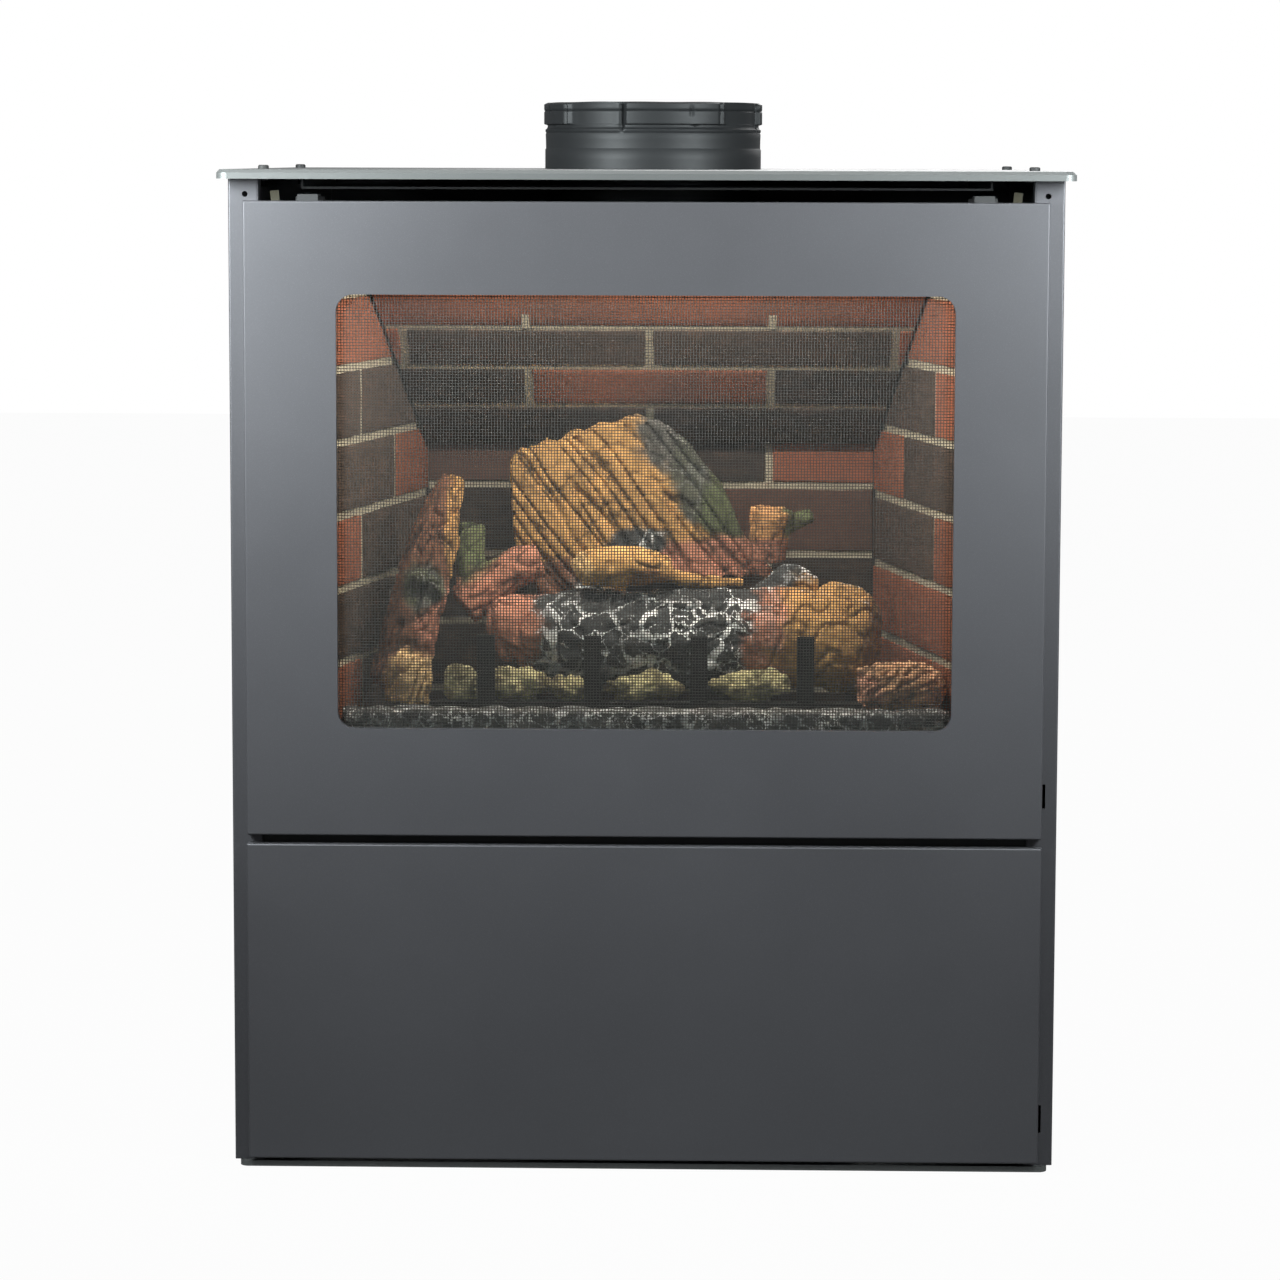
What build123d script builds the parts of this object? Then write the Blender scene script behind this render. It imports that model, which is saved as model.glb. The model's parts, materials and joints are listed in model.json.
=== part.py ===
"""Free-standing pedestal gas stove with a coaxial top vent, in millimetres.

+Z is up, the front faces -Y, and the origin is the centre of the bounding box's bottom face.
"""
import os
from math import cos, radians, sin

from build123d import *

# Casing
TOP_WIDTH = 588.8
DEPTH = 460.0
TOP_SURFACE = 699.9
TOP_THICKNESS = 6.4
TOP_UNDER = TOP_SURFACE - TOP_THICKNESS
BASE_HALF = (284.0, 218.0)
BASE_THICKNESS = 4.0
SHEET = 1.5
CASE_HALF = 287.7
CASE_FRONT = -214.0
CASE_BACK = 218.0
FLANGE_INNER = 266.7
REAR_FLANGE_INNER = 262.0
RETURN_LIP_BACK = -200.0
REAR_SCREW_X = 277.0
TOP_SCREW_X = 276.4
TOP_SCREW_YS = (-107.0, 125.0)
REAR_SCREW_ZS = (40.0, 345.0, 650.0)
ANCHOR_HALF = (205.0, 150.0)
ANCHOR_RADIUS = 4.0

# Vent collars
VENT_Y = 120.0
COLLAR_FOOT = 673.5
COLLAR_SEAT = (700.0, 730.5)
COLLAR_TOP = 751.0
COLLAR_RADIUS = 84.15
COLLAR_NECK = 83.2
COLLAR_RING = 82.7
COLLAR_GROOVE = 82.3
COLLAR_FLANGE = 96.0
COLLAR_WALL = 0.8
FLUE_RADIUS = 50.8
FLUE_TOP = 748.0

# Front surround and lower door
PANEL_FRONT = -222.0
PANEL_BACK = -214.3
FACE_HALF = 276.7
FACE_Z = (237.4, 678.5)
WINDOW_HALF = 213.0
WINDOW_Z = (312.6, 614.4)
WINDOW_CORNER = 12.0
DOOR_HALF = 277.0
DOOR_Z = (6.9, 231.1)
HANGER_X = 232.0
HANGER_WIDTH = 14.0
HANGER_TOP = 683.0
HINGE_Y = -217.5
HINGE_Z = 10.0
HINGE_PIN_RADIUS = 1.5
HINGE_BRACKET_X = (262.0, 264.0)
RUNNING_CLEARANCE = 0.05
MESH_FRONT = -216.2
MESH_GAPS = (20, 15)
MESH_STRAND = 2.0

# Glass and its latches
GLASS_FRAME_HALF = 240.0
GLASS_FRAME_Z = (290.0, 640.0)
GLASS_FRAME_FRONT = -209.0
GLASS_BACK = -200.9
GLASS_THICKNESS = 5.0
LATCH_X = 254.0
LATCH_Z = 664.0
LATCH_FRONT = -211.5
LATCH_THICKNESS = 2.0

# Firebox
BOX_HALF = 240.0
BOX_FRONT = -193.0
BOX_BACK = 175.0
BOX_FLOOR = 285.0
BOX_ROOF = 655.0
FRONT_PLATE = 2.0
FLOOR_TOP = BOX_FLOOR + SHEET

# Brick lining: the side walls draw in towards the back by SPLAY per millimetre
SPLAY = 0.24
SPLAY_HALF = 219.0
SPLAY_FROM = -150.0
BRICK_BACK = 51.0
BRICK_THICKNESS = 11.0
COURSE = 52.6
BRICK_LENGTH = 181.0
MORTAR = 6.5
MORTAR_DEPTH = 1.6
SIDE_COURSE_START = 295.0
REAR_COURSE_START = 300.4
LEAN_FOOT = (41.0, 491.0)
LEAN_ANGLE = 47.1
LEAN_COURSE = 45.5
LEAN_LENGTH = 198.0

# Gas controls: places on the control bracket as (x, z)
BRACKET_FRONT = -150.0
GAS_KNOB_AT = (45.0, 124.0)
FLAME_KNOB_AT = (92.0, 124.0)
IGNITER_AT = (-35.0, 130.0)
SWITCH_AT = (-35.0, 75.0)
SPINDLE_RADIUS = 5.0
INLET_AT = (185.0, 60.0)
INLET_RADIUS = 8.57
INLET_SHOULDER = (10.0, 207.0)
INLET_END = 226.0
ROCKER_Y = -147.0
ROCKER_TILT = 8.0
ROCKER_PIN_RADIUS = 1.4
BRACKET_X = (-75.0, 150.0)
BRACKET_TOP = 175.0

# Burner, grate and ember bed: places on the firebox floor as (x, y)
MANIFOLD_AT = (30.0, -70.0)
PILOT_AT = (60.0, 24.0)
SHUTTER_X = -5.0
SHUTTER_ROD_Z = 278.4
SHUTTER_ROD_RADIUS = 2.5
TRAY_HALF = 165.0
TRAY_Y = (-140.0, -20.0)
TRAY_TOP = 302.0
GRATE_TOP = 322.0
GRATE_HALF = 154.0
GRATE_BAR_YS = ((-158.0, -152.0), (-12.0, -6.0))
FINGER_XS = (-113.6, -37.9, 37.9, 113.6)
FINGER_WIDTH = 12.4
FINGER_TOP = 370.0
STRIP_HALF = 214.0
STRIP_Y = (-188.0, -163.0)
CHUNK_Y = -145.0
CHUNKS = ((-132.0, 12.0, 11.0), (-95.0, 22.0, 10.0), (-52.0, 13.0, 8.0), (2.0, 22.0, 7.0), (76.0, 20.0, 9.0))


def block(x, y, z):
    """A box between the given (low, high) limits on each axis."""
    size = [high - low for low, high in (x, y, z)]
    middle = [(low + high) / 2 for low, high in (x, y, z)]
    return Pos(*middle) * Box(*size)


def pair(shape):
    """The shape and its mirror image across the stove's middle plane."""
    return [shape, mirror(shape, about=Plane.YZ)]


def both(shape):
    """The shape and its mirror image as one group."""
    return shape + mirror(shape, about=Plane.YZ)


def peg(radius, x, z, y_low, y_high):
    """A round bar along Y at the given place of the front view."""
    middle = Pos(x, (y_low + y_high) / 2, z)
    return middle * Rot(90, 0, 0) * Cylinder(radius, y_high - y_low)


def post(radius, x, y, z_low, z_high):
    """A round bar along Z."""
    return Pos(x, y, (z_low + z_high) / 2) * Cylinder(radius, z_high - z_low)


def ring(half, z, inset, y, corner=0.0):
    """A rectangular ring in the front view: outer limits, width of its limbs and depth limits."""
    outer = block((-half, half), y, z)
    inner = block((-half + inset, half - inset), y, (z[0] + inset, z[1] - inset))
    if corner:
        inner = fillet(inner.edges().filter_by(Axis.Y), corner)
    return outer - inner


def group(solids):
    """Separate solids kept together as one node."""
    return Compound([solid for part in solids for solid in part.solids()])


def wall_x(y):
    """How far the brick side walls stand from the middle at a depth."""
    return SPLAY_HALF - SPLAY * (y - SPLAY_FROM)


def base_plate():
    """The thin plate the stove stands on, with floor anchor holes."""
    half_x, half_y = BASE_HALF
    plate = block((-half_x, half_x), (-half_y, half_y), (0, BASE_THICKNESS))
    plate = fillet(plate.edges().filter_by(Axis.Z), 6.0)
    for x in (-ANCHOR_HALF[0], ANCHOR_HALF[0]):
        for y in (-ANCHOR_HALF[1], ANCHOR_HALF[1]):
            plate -= post(ANCHOR_RADIUS, x, y, 0, BASE_THICKNESS)
    return plate


def side_panel():
    """The right side panel: a bent sheet with front, rear, top and bottom flanges."""
    z = (BASE_THICKNESS, TOP_UNDER)
    inner = CASE_HALF - SHEET
    panel = block((inner, CASE_HALF), (CASE_FRONT, CASE_BACK), z)
    panel += block((FLANGE_INNER, CASE_HALF), (CASE_FRONT, CASE_FRONT + SHEET), z)
    panel += block((FLANGE_INNER, FLANGE_INNER + SHEET), (CASE_FRONT, RETURN_LIP_BACK), z)
    panel += block((REAR_FLANGE_INNER, CASE_HALF), (CASE_BACK - SHEET, CASE_BACK), z)
    panel += block((REAR_FLANGE_INNER, inner), (RETURN_LIP_BACK, CASE_BACK), (TOP_UNDER - SHEET, TOP_UNDER))
    panel += block((REAR_FLANGE_INNER, inner), (-190.0, 205.0), (z[0], z[0] + SHEET))
    corner = panel.edges().filter_by(Axis.Z).group_by(Axis.Y)[0].sort_by(Axis.X)
    panel = fillet([corner[0], corner[-1]], 1.4)
    for y in TOP_SCREW_YS:
        panel -= post(2.0, TOP_SCREW_X, y, TOP_UNDER - 2 * SHEET, TOP_UNDER + SHEET)
    for z_screw in REAR_SCREW_ZS:
        panel -= peg(2.0, REAR_SCREW_X, z_screw, CASE_BACK - 2 * SHEET, CASE_BACK)
    return panel - peg(2.0, 276.0, 683.0, CASE_FRONT, CASE_FRONT + SHEET)


def hook_slots(x):
    """The cutter for the two hook slots in a side panel's front flange."""
    y = (CASE_FRONT - 1.0, CASE_FRONT + SHEET + 0.1)
    return block(x, y, (27.0, 47.0)) + block(x, y, (258.0, 275.0))


def rear_panel():
    """The flat back sheet with air slots and the gas line hole."""
    y = (CASE_BACK, CASE_BACK + SHEET)
    panel = block((-286.0, 286.0), y, (6.0, TOP_UNDER - 0.3))
    slot = block((-30.0, 30.0), y, (-2.5, 2.5))
    for column in (-150.0, 0.0, 150.0):
        for row in range(8):
            for low in (150.0, 540.0):
                panel -= Pos(column, 0, low + 14.0 * row) * slot
    panel -= peg(20.0, *INLET_AT, *y)
    for z in REAR_SCREW_ZS:
        panel -= both(peg(2.0, REAR_SCREW_X, z, *y))
    return panel


def top_plate():
    """The thick top with rounded corners, a bevelled upper edge and the collar hole."""
    plate = block((-TOP_WIDTH / 2, TOP_WIDTH / 2), (-DEPTH / 2, DEPTH / 2), (TOP_UNDER, TOP_SURFACE))
    plate = fillet(plate.edges().filter_by(Axis.Z), 8.0)
    plate = chamfer(plate.faces().sort_by(Axis.Z)[-1].edges(), 2.2)
    plate -= post(COLLAR_RADIUS + 0.85, 0, VENT_Y, TOP_UNDER, TOP_SURFACE)
    for y in TOP_SCREW_YS:
        plate -= both(post(2.0, TOP_SCREW_X, y, TOP_UNDER, TOP_SURFACE))
    return plate


def pan_screw(head_radius, head_height, shank_radius, length):
    """A pan-head screw along +Z with its head's underside at the origin."""
    head = post(head_radius, 0, 0, 0, head_height)
    head = fillet(head.edges().sort_by(Axis.Z)[-1], head_height * 0.45)
    recess = Pos(0, 0, head_height) * (Box(3.6, 0.9, 2.0) + Box(0.9, 3.6, 2.0))
    return head + post(shank_radius, 0, 0, -length, 0) - recess


def casing_screws():
    """Four screws in the top plate and six in the rear panel."""
    screw = pan_screw(3.9, 2.8, 2.0, TOP_THICKNESS + 6.0)
    rear = pan_screw(3.9, 2.4, 2.0, 8.0)
    solids = []
    for y in TOP_SCREW_YS:
        solids += pair(Pos(TOP_SCREW_X, y, TOP_SURFACE) * screw)
    for z in REAR_SCREW_ZS:
        solids += pair(Pos(REAR_SCREW_X, CASE_BACK + SHEET, z) * Rot(-90, 0, 0) * rear)
    return group(solids)


def front_cross_rail():
    """The upper rail between the side panels, with two lugs that carry the front surround."""
    y = (-204.5, -203.0)
    rail = block((-FLANGE_INNER, FLANGE_INNER), y, (650.0, 676.0))
    rail += block((-FLANGE_INNER, FLANGE_INNER), (y[0], -197.0), (650.0, 650.0 + SHEET))
    for lug in pair(block((HANGER_X - 10, HANGER_X + 10), y, (676.0, HANGER_TOP - 1.8))):
        rail += lug
    return rail - both(peg(2.5, LATCH_X, LATCH_Z, *y))


def mid_rail():
    """The rail behind the gap between surround and door, with two rests for the glass frame."""
    y = (-211.5, -210.0)
    x = (-FLANGE_INNER, FLANGE_INNER)
    rail = block(x, y, (214.0, 262.0))
    rail += block(x, (y[0], -196.0), (260.5, 262.0))
    rail += both(block((110.0, 150.0), y, (262.0, 299.0)))
    rail += both(block((110.0, 150.0), (y[0], -197.0), (288.5, GLASS_FRAME_Z[0])))
    return rail


def top_heat_shield():
    """The air deflector under the top plate."""
    shield = block((-240.0, 240.0), (-190.0, 28.0), (686.5, 688.0))
    return shield + both(block((238.5, 240.0), (-190.0, 28.0), (686.5, TOP_UNDER)))


def firebox_stands():
    """Two bent side stands that carry the firebox over the control space."""
    y = (-180.0, 170.0)
    outer = BOX_HALF
    foot = 222.0
    stand = block((outer - SHEET, outer), y, (BASE_THICKNESS, BOX_FLOOR))
    stand += block((foot, outer), y, (BASE_THICKNESS, BASE_THICKNESS + SHEET))
    stand += block((foot, outer), y, (BOX_FLOOR - SHEET, BOX_FLOOR))
    return group(pair(stand))


def firebox_floor():
    """The firebox floor with its gas, pilot and air openings and the shutter rod's guide."""
    half = BOX_HALF + SHEET
    floor = block((-half, half), (BOX_FRONT, BOX_BACK + SHEET), (BOX_FLOOR, FLOOR_TOP))
    floor -= post(6.0, *MANIFOLD_AT, BOX_FLOOR, FLOOR_TOP)
    floor -= post(4.0, *PILOT_AT, BOX_FLOOR, FLOOR_TOP)
    floor -= block((SHUTTER_X - 15, SHUTTER_X + 15), (-66.0, -46.0), (BOX_FLOOR, FLOOR_TOP))
    guide = block((SHUTTER_X - 9, SHUTTER_X + 9), (-150.0, -148.5), (270.0, BOX_FLOOR))
    hole = SHUTTER_ROD_RADIUS + RUNNING_CLEARANCE
    return floor + guide - peg(hole, SHUTTER_X, SHUTTER_ROD_Z, -150.0, -148.5)


def firebox_walls():
    """Left, right and back steel walls; the back one has the combustion air inlet."""
    z = (FLOOR_TOP, BOX_ROOF)
    side = block((BOX_HALF, BOX_HALF + SHEET), (BOX_FRONT, BOX_BACK), z)
    half = BOX_HALF + SHEET
    back = block((-half, half), (BOX_BACK, BOX_BACK + SHEET), z)
    back -= block((-34.0, 34.0), (BOX_BACK, BOX_BACK + SHEET), (296.0, 320.0))
    return group(pair(side) + [back])


def firebox_roof():
    """The flat roof with the flue hole."""
    half = BOX_HALF + SHEET
    roof = block((-half, half), (BOX_FRONT, BOX_BACK + SHEET), (BOX_ROOF, BOX_ROOF + SHEET))
    return roof - post(FLUE_RADIUS - 1.8, 0, VENT_Y, BOX_ROOF, BOX_ROOF + SHEET)


def firebox_front_plate():
    """The sealing face of the firebox, with the fire opening."""
    y = (BOX_FRONT - FRONT_PLATE, BOX_FRONT)
    plate = block((-252.0, 252.0), y, (276.0, 668.0))
    return plate - block((-225.0, 225.0), y, (300.0, 630.0))


def air_intake_duct():
    """The plenum under the outer collar and the channel that leads its air down to the fire."""
    low = BOX_ROOF + SHEET
    top = COLLAR_FOOT
    back = 206.0
    start = BOX_BACK + SHEET
    duct = block((-100.0, 100.0), (32.0, back), (top - SHEET, top))
    duct -= post(COLLAR_NECK - COLLAR_WALL, 0, VENT_Y, top - SHEET, top)
    duct += block((-100.0, 100.0), (32.0, 33.5), (low, top))
    duct += both(block((98.5, 100.0), (32.0, back), (low, top)))
    duct += block((-100.0, 100.0), (back - SHEET, back), (low, top))
    duct += both(block((58.5, 100.0), (start, back), (low, low + SHEET)))
    duct += block((-60.0, 60.0), (back - SHEET, back), (290.0, low))
    duct += both(block((58.5, 60.0), (start, back), (290.0, low + SHEET)))
    return duct + block((-60.0, 60.0), (start, back), (290.0, 291.5))


def outer_air_collar():
    """The outer vent collar: hidden foot and neck, plain seat for the pipe, groove and locking ring."""
    seat_low, seat_high = COLLAR_SEAT
    outline = Polyline(
        (COLLAR_RING - COLLAR_WALL, COLLAR_TOP),
        (COLLAR_RING - COLLAR_WALL, seat_high + 1.0),
        (COLLAR_RADIUS - COLLAR_WALL, seat_high - 1.0),
        (COLLAR_RADIUS - COLLAR_WALL, seat_low + COLLAR_WALL),
        (COLLAR_NECK - COLLAR_WALL, seat_low - COLLAR_WALL),
        (COLLAR_NECK - COLLAR_WALL, COLLAR_FOOT),
        (COLLAR_FLANGE, COLLAR_FOOT),
        (COLLAR_FLANGE, COLLAR_FOOT + SHEET),
        (COLLAR_NECK, COLLAR_FOOT + SHEET),
        (COLLAR_NECK, seat_low),
        (COLLAR_RADIUS, seat_low),
        (COLLAR_RADIUS, seat_high),
        (COLLAR_GROOVE, seat_high + 1.2),
        (COLLAR_GROOVE, seat_high + 2.6),
        (COLLAR_RING, seat_high + 3.6),
        (COLLAR_RING, COLLAR_TOP - 0.6),
        (COLLAR_RING - 0.3, COLLAR_TOP),
        close=True,
    )
    profile = Plane.XZ * make_face(outline)
    return Pos(0, VENT_Y, 0) * revolve(profile, Axis.Z)


def inner_flue_collar():
    """The inner flue collar, flanged onto the firebox roof."""
    low = BOX_ROOF + SHEET
    collar = post(62.0, 0, VENT_Y, low, low + SHEET) + post(FLUE_RADIUS, 0, VENT_Y, low, FLUE_TOP)
    return collar - post(FLUE_RADIUS - COLLAR_WALL, 0, VENT_Y, low, FLUE_TOP)


def side_strip(y, depth, z):
    """A right-hand slab that follows the splayed wall between two depths behind its face."""
    corners = [
        (wall_x(y[0]) + depth[0], y[0]),
        (wall_x(y[1]) + depth[0], y[1]),
        (wall_x(y[1]) + depth[1], y[1]),
        (wall_x(y[0]) + depth[1], y[0]),
    ]
    return Pos(0, 0, z[0]) * extrude(make_face(Polyline(*corners, close=True)), z[1] - z[0])


def brick_side():
    """The right brick panel: running bond with recessed mortar on its inner face."""
    y = (-187.0, BRICK_BACK - 0.5)
    top = BOX_ROOF - 1.0
    panel = side_strip(y, (0, BRICK_THICKNESS), (FLOOR_TOP, top))
    groove = (-1.0, MORTAR_DEPTH)
    for row in range(7):
        line = SIDE_COURSE_START + COURSE * row
        panel -= side_strip((y[0] - 1, y[1] + 1), groove, (line - MORTAR / 2, line + MORTAR / 2))
        joint = -25.0 if row % 2 else -99.0
        height = (line, min(line + COURSE, top + 1.0))
        panel -= side_strip((joint - MORTAR / 2, joint + MORTAR / 2), groove, height)
    return panel


def brick_rear_lower():
    """The upright rear brick panel."""
    half = wall_x(BRICK_BACK) - 0.6
    top = LEAN_FOOT[1]
    y = (BRICK_BACK, BRICK_BACK + BRICK_THICKNESS)
    groove = (y[0] - 1.0, y[0] + MORTAR_DEPTH)
    panel = block((-half, half), y, (FLOOR_TOP, top))
    for row in range(4):
        line = REAR_COURSE_START + COURSE * row
        panel -= block((-half, half), groove, (line - MORTAR / 2, line + MORTAR / 2))
        shift = 0.5 * (row % 2)
        for place in (-1.0 + shift, shift, 1.0 + shift):
            x = place * BRICK_LENGTH
            if abs(x) < half:
                joint = (x - MORTAR / 2, x + MORTAR / 2)
                panel -= block(joint, groove, (line, min(line + COURSE, top)))
    return panel


def brick_rear_upper():
    """The upper rear brick panel, leaning forward over the fire."""
    lean = radians(LEAN_ANGLE)
    along = (0, -sin(lean), cos(lean))
    normal = (0, -along[2], along[1])
    spread = SPLAY * sin(lean) * LEAN_LENGTH
    low_half = wall_x(LEAN_FOOT[0]) - 2.8
    high_half = low_half + spread
    corners = [(-low_half, 0), (low_half, 0), (high_half, LEAN_LENGTH), (-high_half, LEAN_LENGTH)]
    panel = extrude(make_face(Polyline(*corners, close=True)), -BRICK_THICKNESS)
    groove = (-MORTAR_DEPTH, 1.0)
    for row in range(4):
        line = LEAN_COURSE * row
        if row:
            panel -= block((-high_half, high_half), (line - MORTAR / 2, line + MORTAR / 2), groove)
        shift = 0.5 * (row % 2)
        height = LEAN_COURSE if row < 3 else LEAN_COURSE / 3
        for place in (-1.0 + shift, shift, 1.0 + shift):
            x = place * BRICK_LENGTH
            if abs(x) < low_half + SPLAY * sin(lean) * line:
                panel -= block((x - MORTAR / 2, x + MORTAR / 2), (line, line + height), groove)
    place = Plane(origin=(0, *LEAN_FOOT), x_dir=(1, 0, 0), z_dir=normal)
    return place * panel


def glass_frame():
    """The frame that clamps the glass: a front lip and a side wall all round."""
    front = GLASS_FRAME_FRONT
    lip = ring(GLASS_FRAME_HALF, GLASS_FRAME_Z, 14.0, (front, front + 3.0), 4.0)
    return lip + ring(GLASS_FRAME_HALF, GLASS_FRAME_Z, 3.0, (front + 3.0, -196.5))


def window_glass():
    """The ceramic glass pane."""
    z = (GLASS_FRAME_Z[0] + 6.0, GLASS_FRAME_Z[1] - 6.0)
    half = GLASS_FRAME_HALF - 6.0
    return block((-half, half), (GLASS_BACK - GLASS_THICKNESS, GLASS_BACK), z)


def glass_gasket():
    """The rope seal between the glass and the firebox face."""
    z = (GLASS_FRAME_Z[0] + 7.0, GLASS_FRAME_Z[1] - 7.0)
    return ring(GLASS_FRAME_HALF - 7.0, z, 5.5, (GLASS_BACK, BOX_FRONT - FRONT_PLATE), 3.0)


def glass_latch():
    """The right latch lever: a finger over the frame's corner and an upright tail."""
    y = (LATCH_FRONT, LATCH_FRONT + LATCH_THICKNESS)
    lever = peg(7.0, LATCH_X, LATCH_Z, *y)
    finger = Pos(LATCH_X, 0, LATCH_Z) * Rot(0, 122.0, 0) * block((0, 35.0), y, (-4.5, 4.5))
    tail = Pos(LATCH_X, 0, LATCH_Z) * Rot(0, -85.0, 0) * block((0, 21.5), y, (-3.0, 3.0))
    return lever + finger + tail - peg(3.0 + RUNNING_CLEARANCE, LATCH_X, LATCH_Z, *y)


def latch_screws():
    """The two shoulder screws the latches turn on, fixed in the upper rail."""
    at = (LATCH_X, LATCH_Z)
    screw = peg(5.5, *at, LATCH_FRONT - 2.2, LATCH_FRONT - 0.2)
    screw += peg(3.0, *at, LATCH_FRONT - 0.2, LATCH_FRONT + LATCH_THICKNESS + 0.2)
    screw += peg(5.0, *at, LATCH_FRONT + LATCH_THICKNESS + 0.2, -204.5)
    screw += peg(2.5, *at, -204.5, -200.0)
    return group(pair(screw))


def pan(half, z, low_flange_back, flange_low):
    """A folded front panel: face sheet with top, bottom and side flanges."""
    x = (-half, half)
    front = PANEL_FRONT
    sheet = block(x, (front, front + SHEET), z)
    sheet += block(x, (front, PANEL_BACK), (z[1] - SHEET, z[1]))
    sheet += block(x, (front, low_flange_back), (z[0], z[0] + SHEET))
    sheet += both(block((half - SHEET, half), (front, PANEL_BACK), (flange_low, z[1])))
    return fillet(sheet.faces().sort_by(Axis.Y)[0].edges(), 1.2)


def front_face():
    """The lift-off front surround with its rounded window and hemmed window edge."""
    face = pan(FACE_HALF, FACE_Z, PANEL_BACK, FACE_Z[0])
    lip_z = (WINDOW_Z[0] - SHEET, WINDOW_Z[1] + SHEET)
    lip = block((-WINDOW_HALF - SHEET, WINDOW_HALF + SHEET), (PANEL_FRONT + SHEET, MESH_FRONT), lip_z)
    lip = fillet(lip.edges().filter_by(Axis.Y), WINDOW_CORNER + SHEET)
    opening = block((-WINDOW_HALF, WINDOW_HALF), (PANEL_FRONT - 1, MESH_FRONT + 1), WINDOW_Z)
    opening = fillet(opening.edges().filter_by(Axis.Y), WINDOW_CORNER)
    slot = (HANGER_X - HANGER_WIDTH / 2 - 0.5, HANGER_X + HANGER_WIDTH / 2 + 0.5)
    face = face + lip - opening
    return face - both(block(slot, (PANEL_FRONT + SHEET, PANEL_BACK + 0.1), (676.0, 679.0)))


def front_hanger_tabs():
    """Two bent hooks behind the surround's top edge that hang over the upper rail."""
    x = (HANGER_X - HANGER_WIDTH / 2, HANGER_X + HANGER_WIDTH / 2)
    front = PANEL_FRONT + SHEET
    hook = block(x, (front, front + SHEET), (640.0, HANGER_TOP))
    hook += block(x, (front, -201.2), (HANGER_TOP - SHEET, HANGER_TOP))
    hook += block(x, (-202.7, -201.2), (674.5, HANGER_TOP))
    return group(pair(hook))


def mesh_screen():
    """The safety screen as a coarse net: one plate with a grid of gaps."""
    half = WINDOW_HALF + 9.0
    z = (WINDOW_Z[0] - 9.0, WINDOW_Z[1] + 9.0)
    y = (MESH_FRONT, MESH_FRONT + 0.8)
    columns, rows = MESH_GAPS
    pitch_x = (2 * half - MESH_STRAND) / columns
    pitch_z = (z[1] - z[0] - MESH_STRAND) / rows
    gap = (pitch_x - MESH_STRAND, pitch_z - MESH_STRAND)
    outline = Pos(0, (z[0] + z[1]) / 2) * Rectangle(2 * half, z[1] - z[0])
    middle = (z[0] + z[1]) / 2
    gaps = Pos(0, middle) * GridLocations(pitch_x, pitch_z, columns, rows) * Rectangle(*gap)
    net = outline - gaps
    place = Plane(origin=(0, y[1], 0), x_dir=(1, 0, 0), z_dir=(0, -1, 0))
    return place * extrude(net, y[1] - y[0])


def mesh_retainer():
    """The flat frame that holds the screen against the surround's back."""
    z = (WINDOW_Z[0] - 15.0, WINDOW_Z[1] + 15.0)
    return ring(WINDOW_HALF + 15.0, z, 13.0, (MESH_FRONT + 0.8, PANEL_BACK + 0.1), 10.0)


def lower_door():
    """The drop-down door panel with two ears for its hinge pins."""
    door = pan(DOOR_HALF, DOOR_Z, HINGE_Y - 0.3, HINGE_Z + 0.4)
    notch = block((256.0, 266.5), (PANEL_FRONT + SHEET, HINGE_Y), (DOOR_Z[0] - 1, DOOR_Z[0] + SHEET + 0.1))
    door -= both(notch)
    ear = block((258.5, 260.5), (PANEL_FRONT + SHEET - 0.2, HINGE_Y), (HINGE_Z - 1.4, HINGE_Z + 14.0))
    round_end = Pos(259.5, HINGE_Y, HINGE_Z) * Rot(0, 90, 0) * Cylinder(2.6, 2.0)
    ear += round_end
    bore = Pos(259.5, HINGE_Y, HINGE_Z) * Rot(0, 90, 0) * Cylinder(HINGE_PIN_RADIUS, 4.0)
    return door + both(ear) - both(bore)


def lower_door_heat_shield():
    """The inner panel of the lower door, folded as a shallow tray."""
    half = 256.0
    thickness = 1.2
    z = (16.0, 210.0)
    back = -205.8
    front = PANEL_FRONT + SHEET
    tray = block((-half, half), (back - thickness, back), z)
    tray += ring(half, z, thickness, (front, back - thickness))
    return tray


def lower_door_pins():
    """The two headed pins on the door's hinge line."""
    pin = Pos(260.7, HINGE_Y, HINGE_Z) * Rot(0, 90, 0) * Cylinder(HINGE_PIN_RADIUS, 9.4)
    head = Pos(257.0, HINGE_Y, HINGE_Z) * Rot(0, 90, 0) * Cylinder(2.3, 2.0)
    return group(pair(pin + head))


def hinge_brackets():
    """Two plates on the base whose forward arms hold the hinge pins."""
    x = HINGE_BRACKET_X
    bracket = block(x, (-212.0, -190.0), (BASE_THICKNESS, 30.0))
    bracket += block(x, (HINGE_Y, -190.0), (HINGE_Z - 2.6, HINGE_Z + 2.6))
    bracket += Pos(263.0, HINGE_Y, HINGE_Z) * Rot(0, 90, 0) * Cylinder(2.6, 2.0)
    bracket += block((250.0, 264.0), (-210.0, -190.0), (BASE_THICKNESS, BASE_THICKNESS + SHEET))
    hole = HINGE_PIN_RADIUS + RUNNING_CLEARANCE
    bracket -= Pos(263.0, HINGE_Y, HINGE_Z) * Rot(0, 90, 0) * Cylinder(hole, 4.0)
    return group(pair(bracket))


def magnet_catches():
    """Two magnet blocks that hold the door's top edge."""
    magnet = block((200.0, 224.0), (-220.2, -211.5), (216.0, 228.0))
    return group(pair(fillet(magnet.edges().filter_by(Axis.Y), 1.5)))


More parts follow.
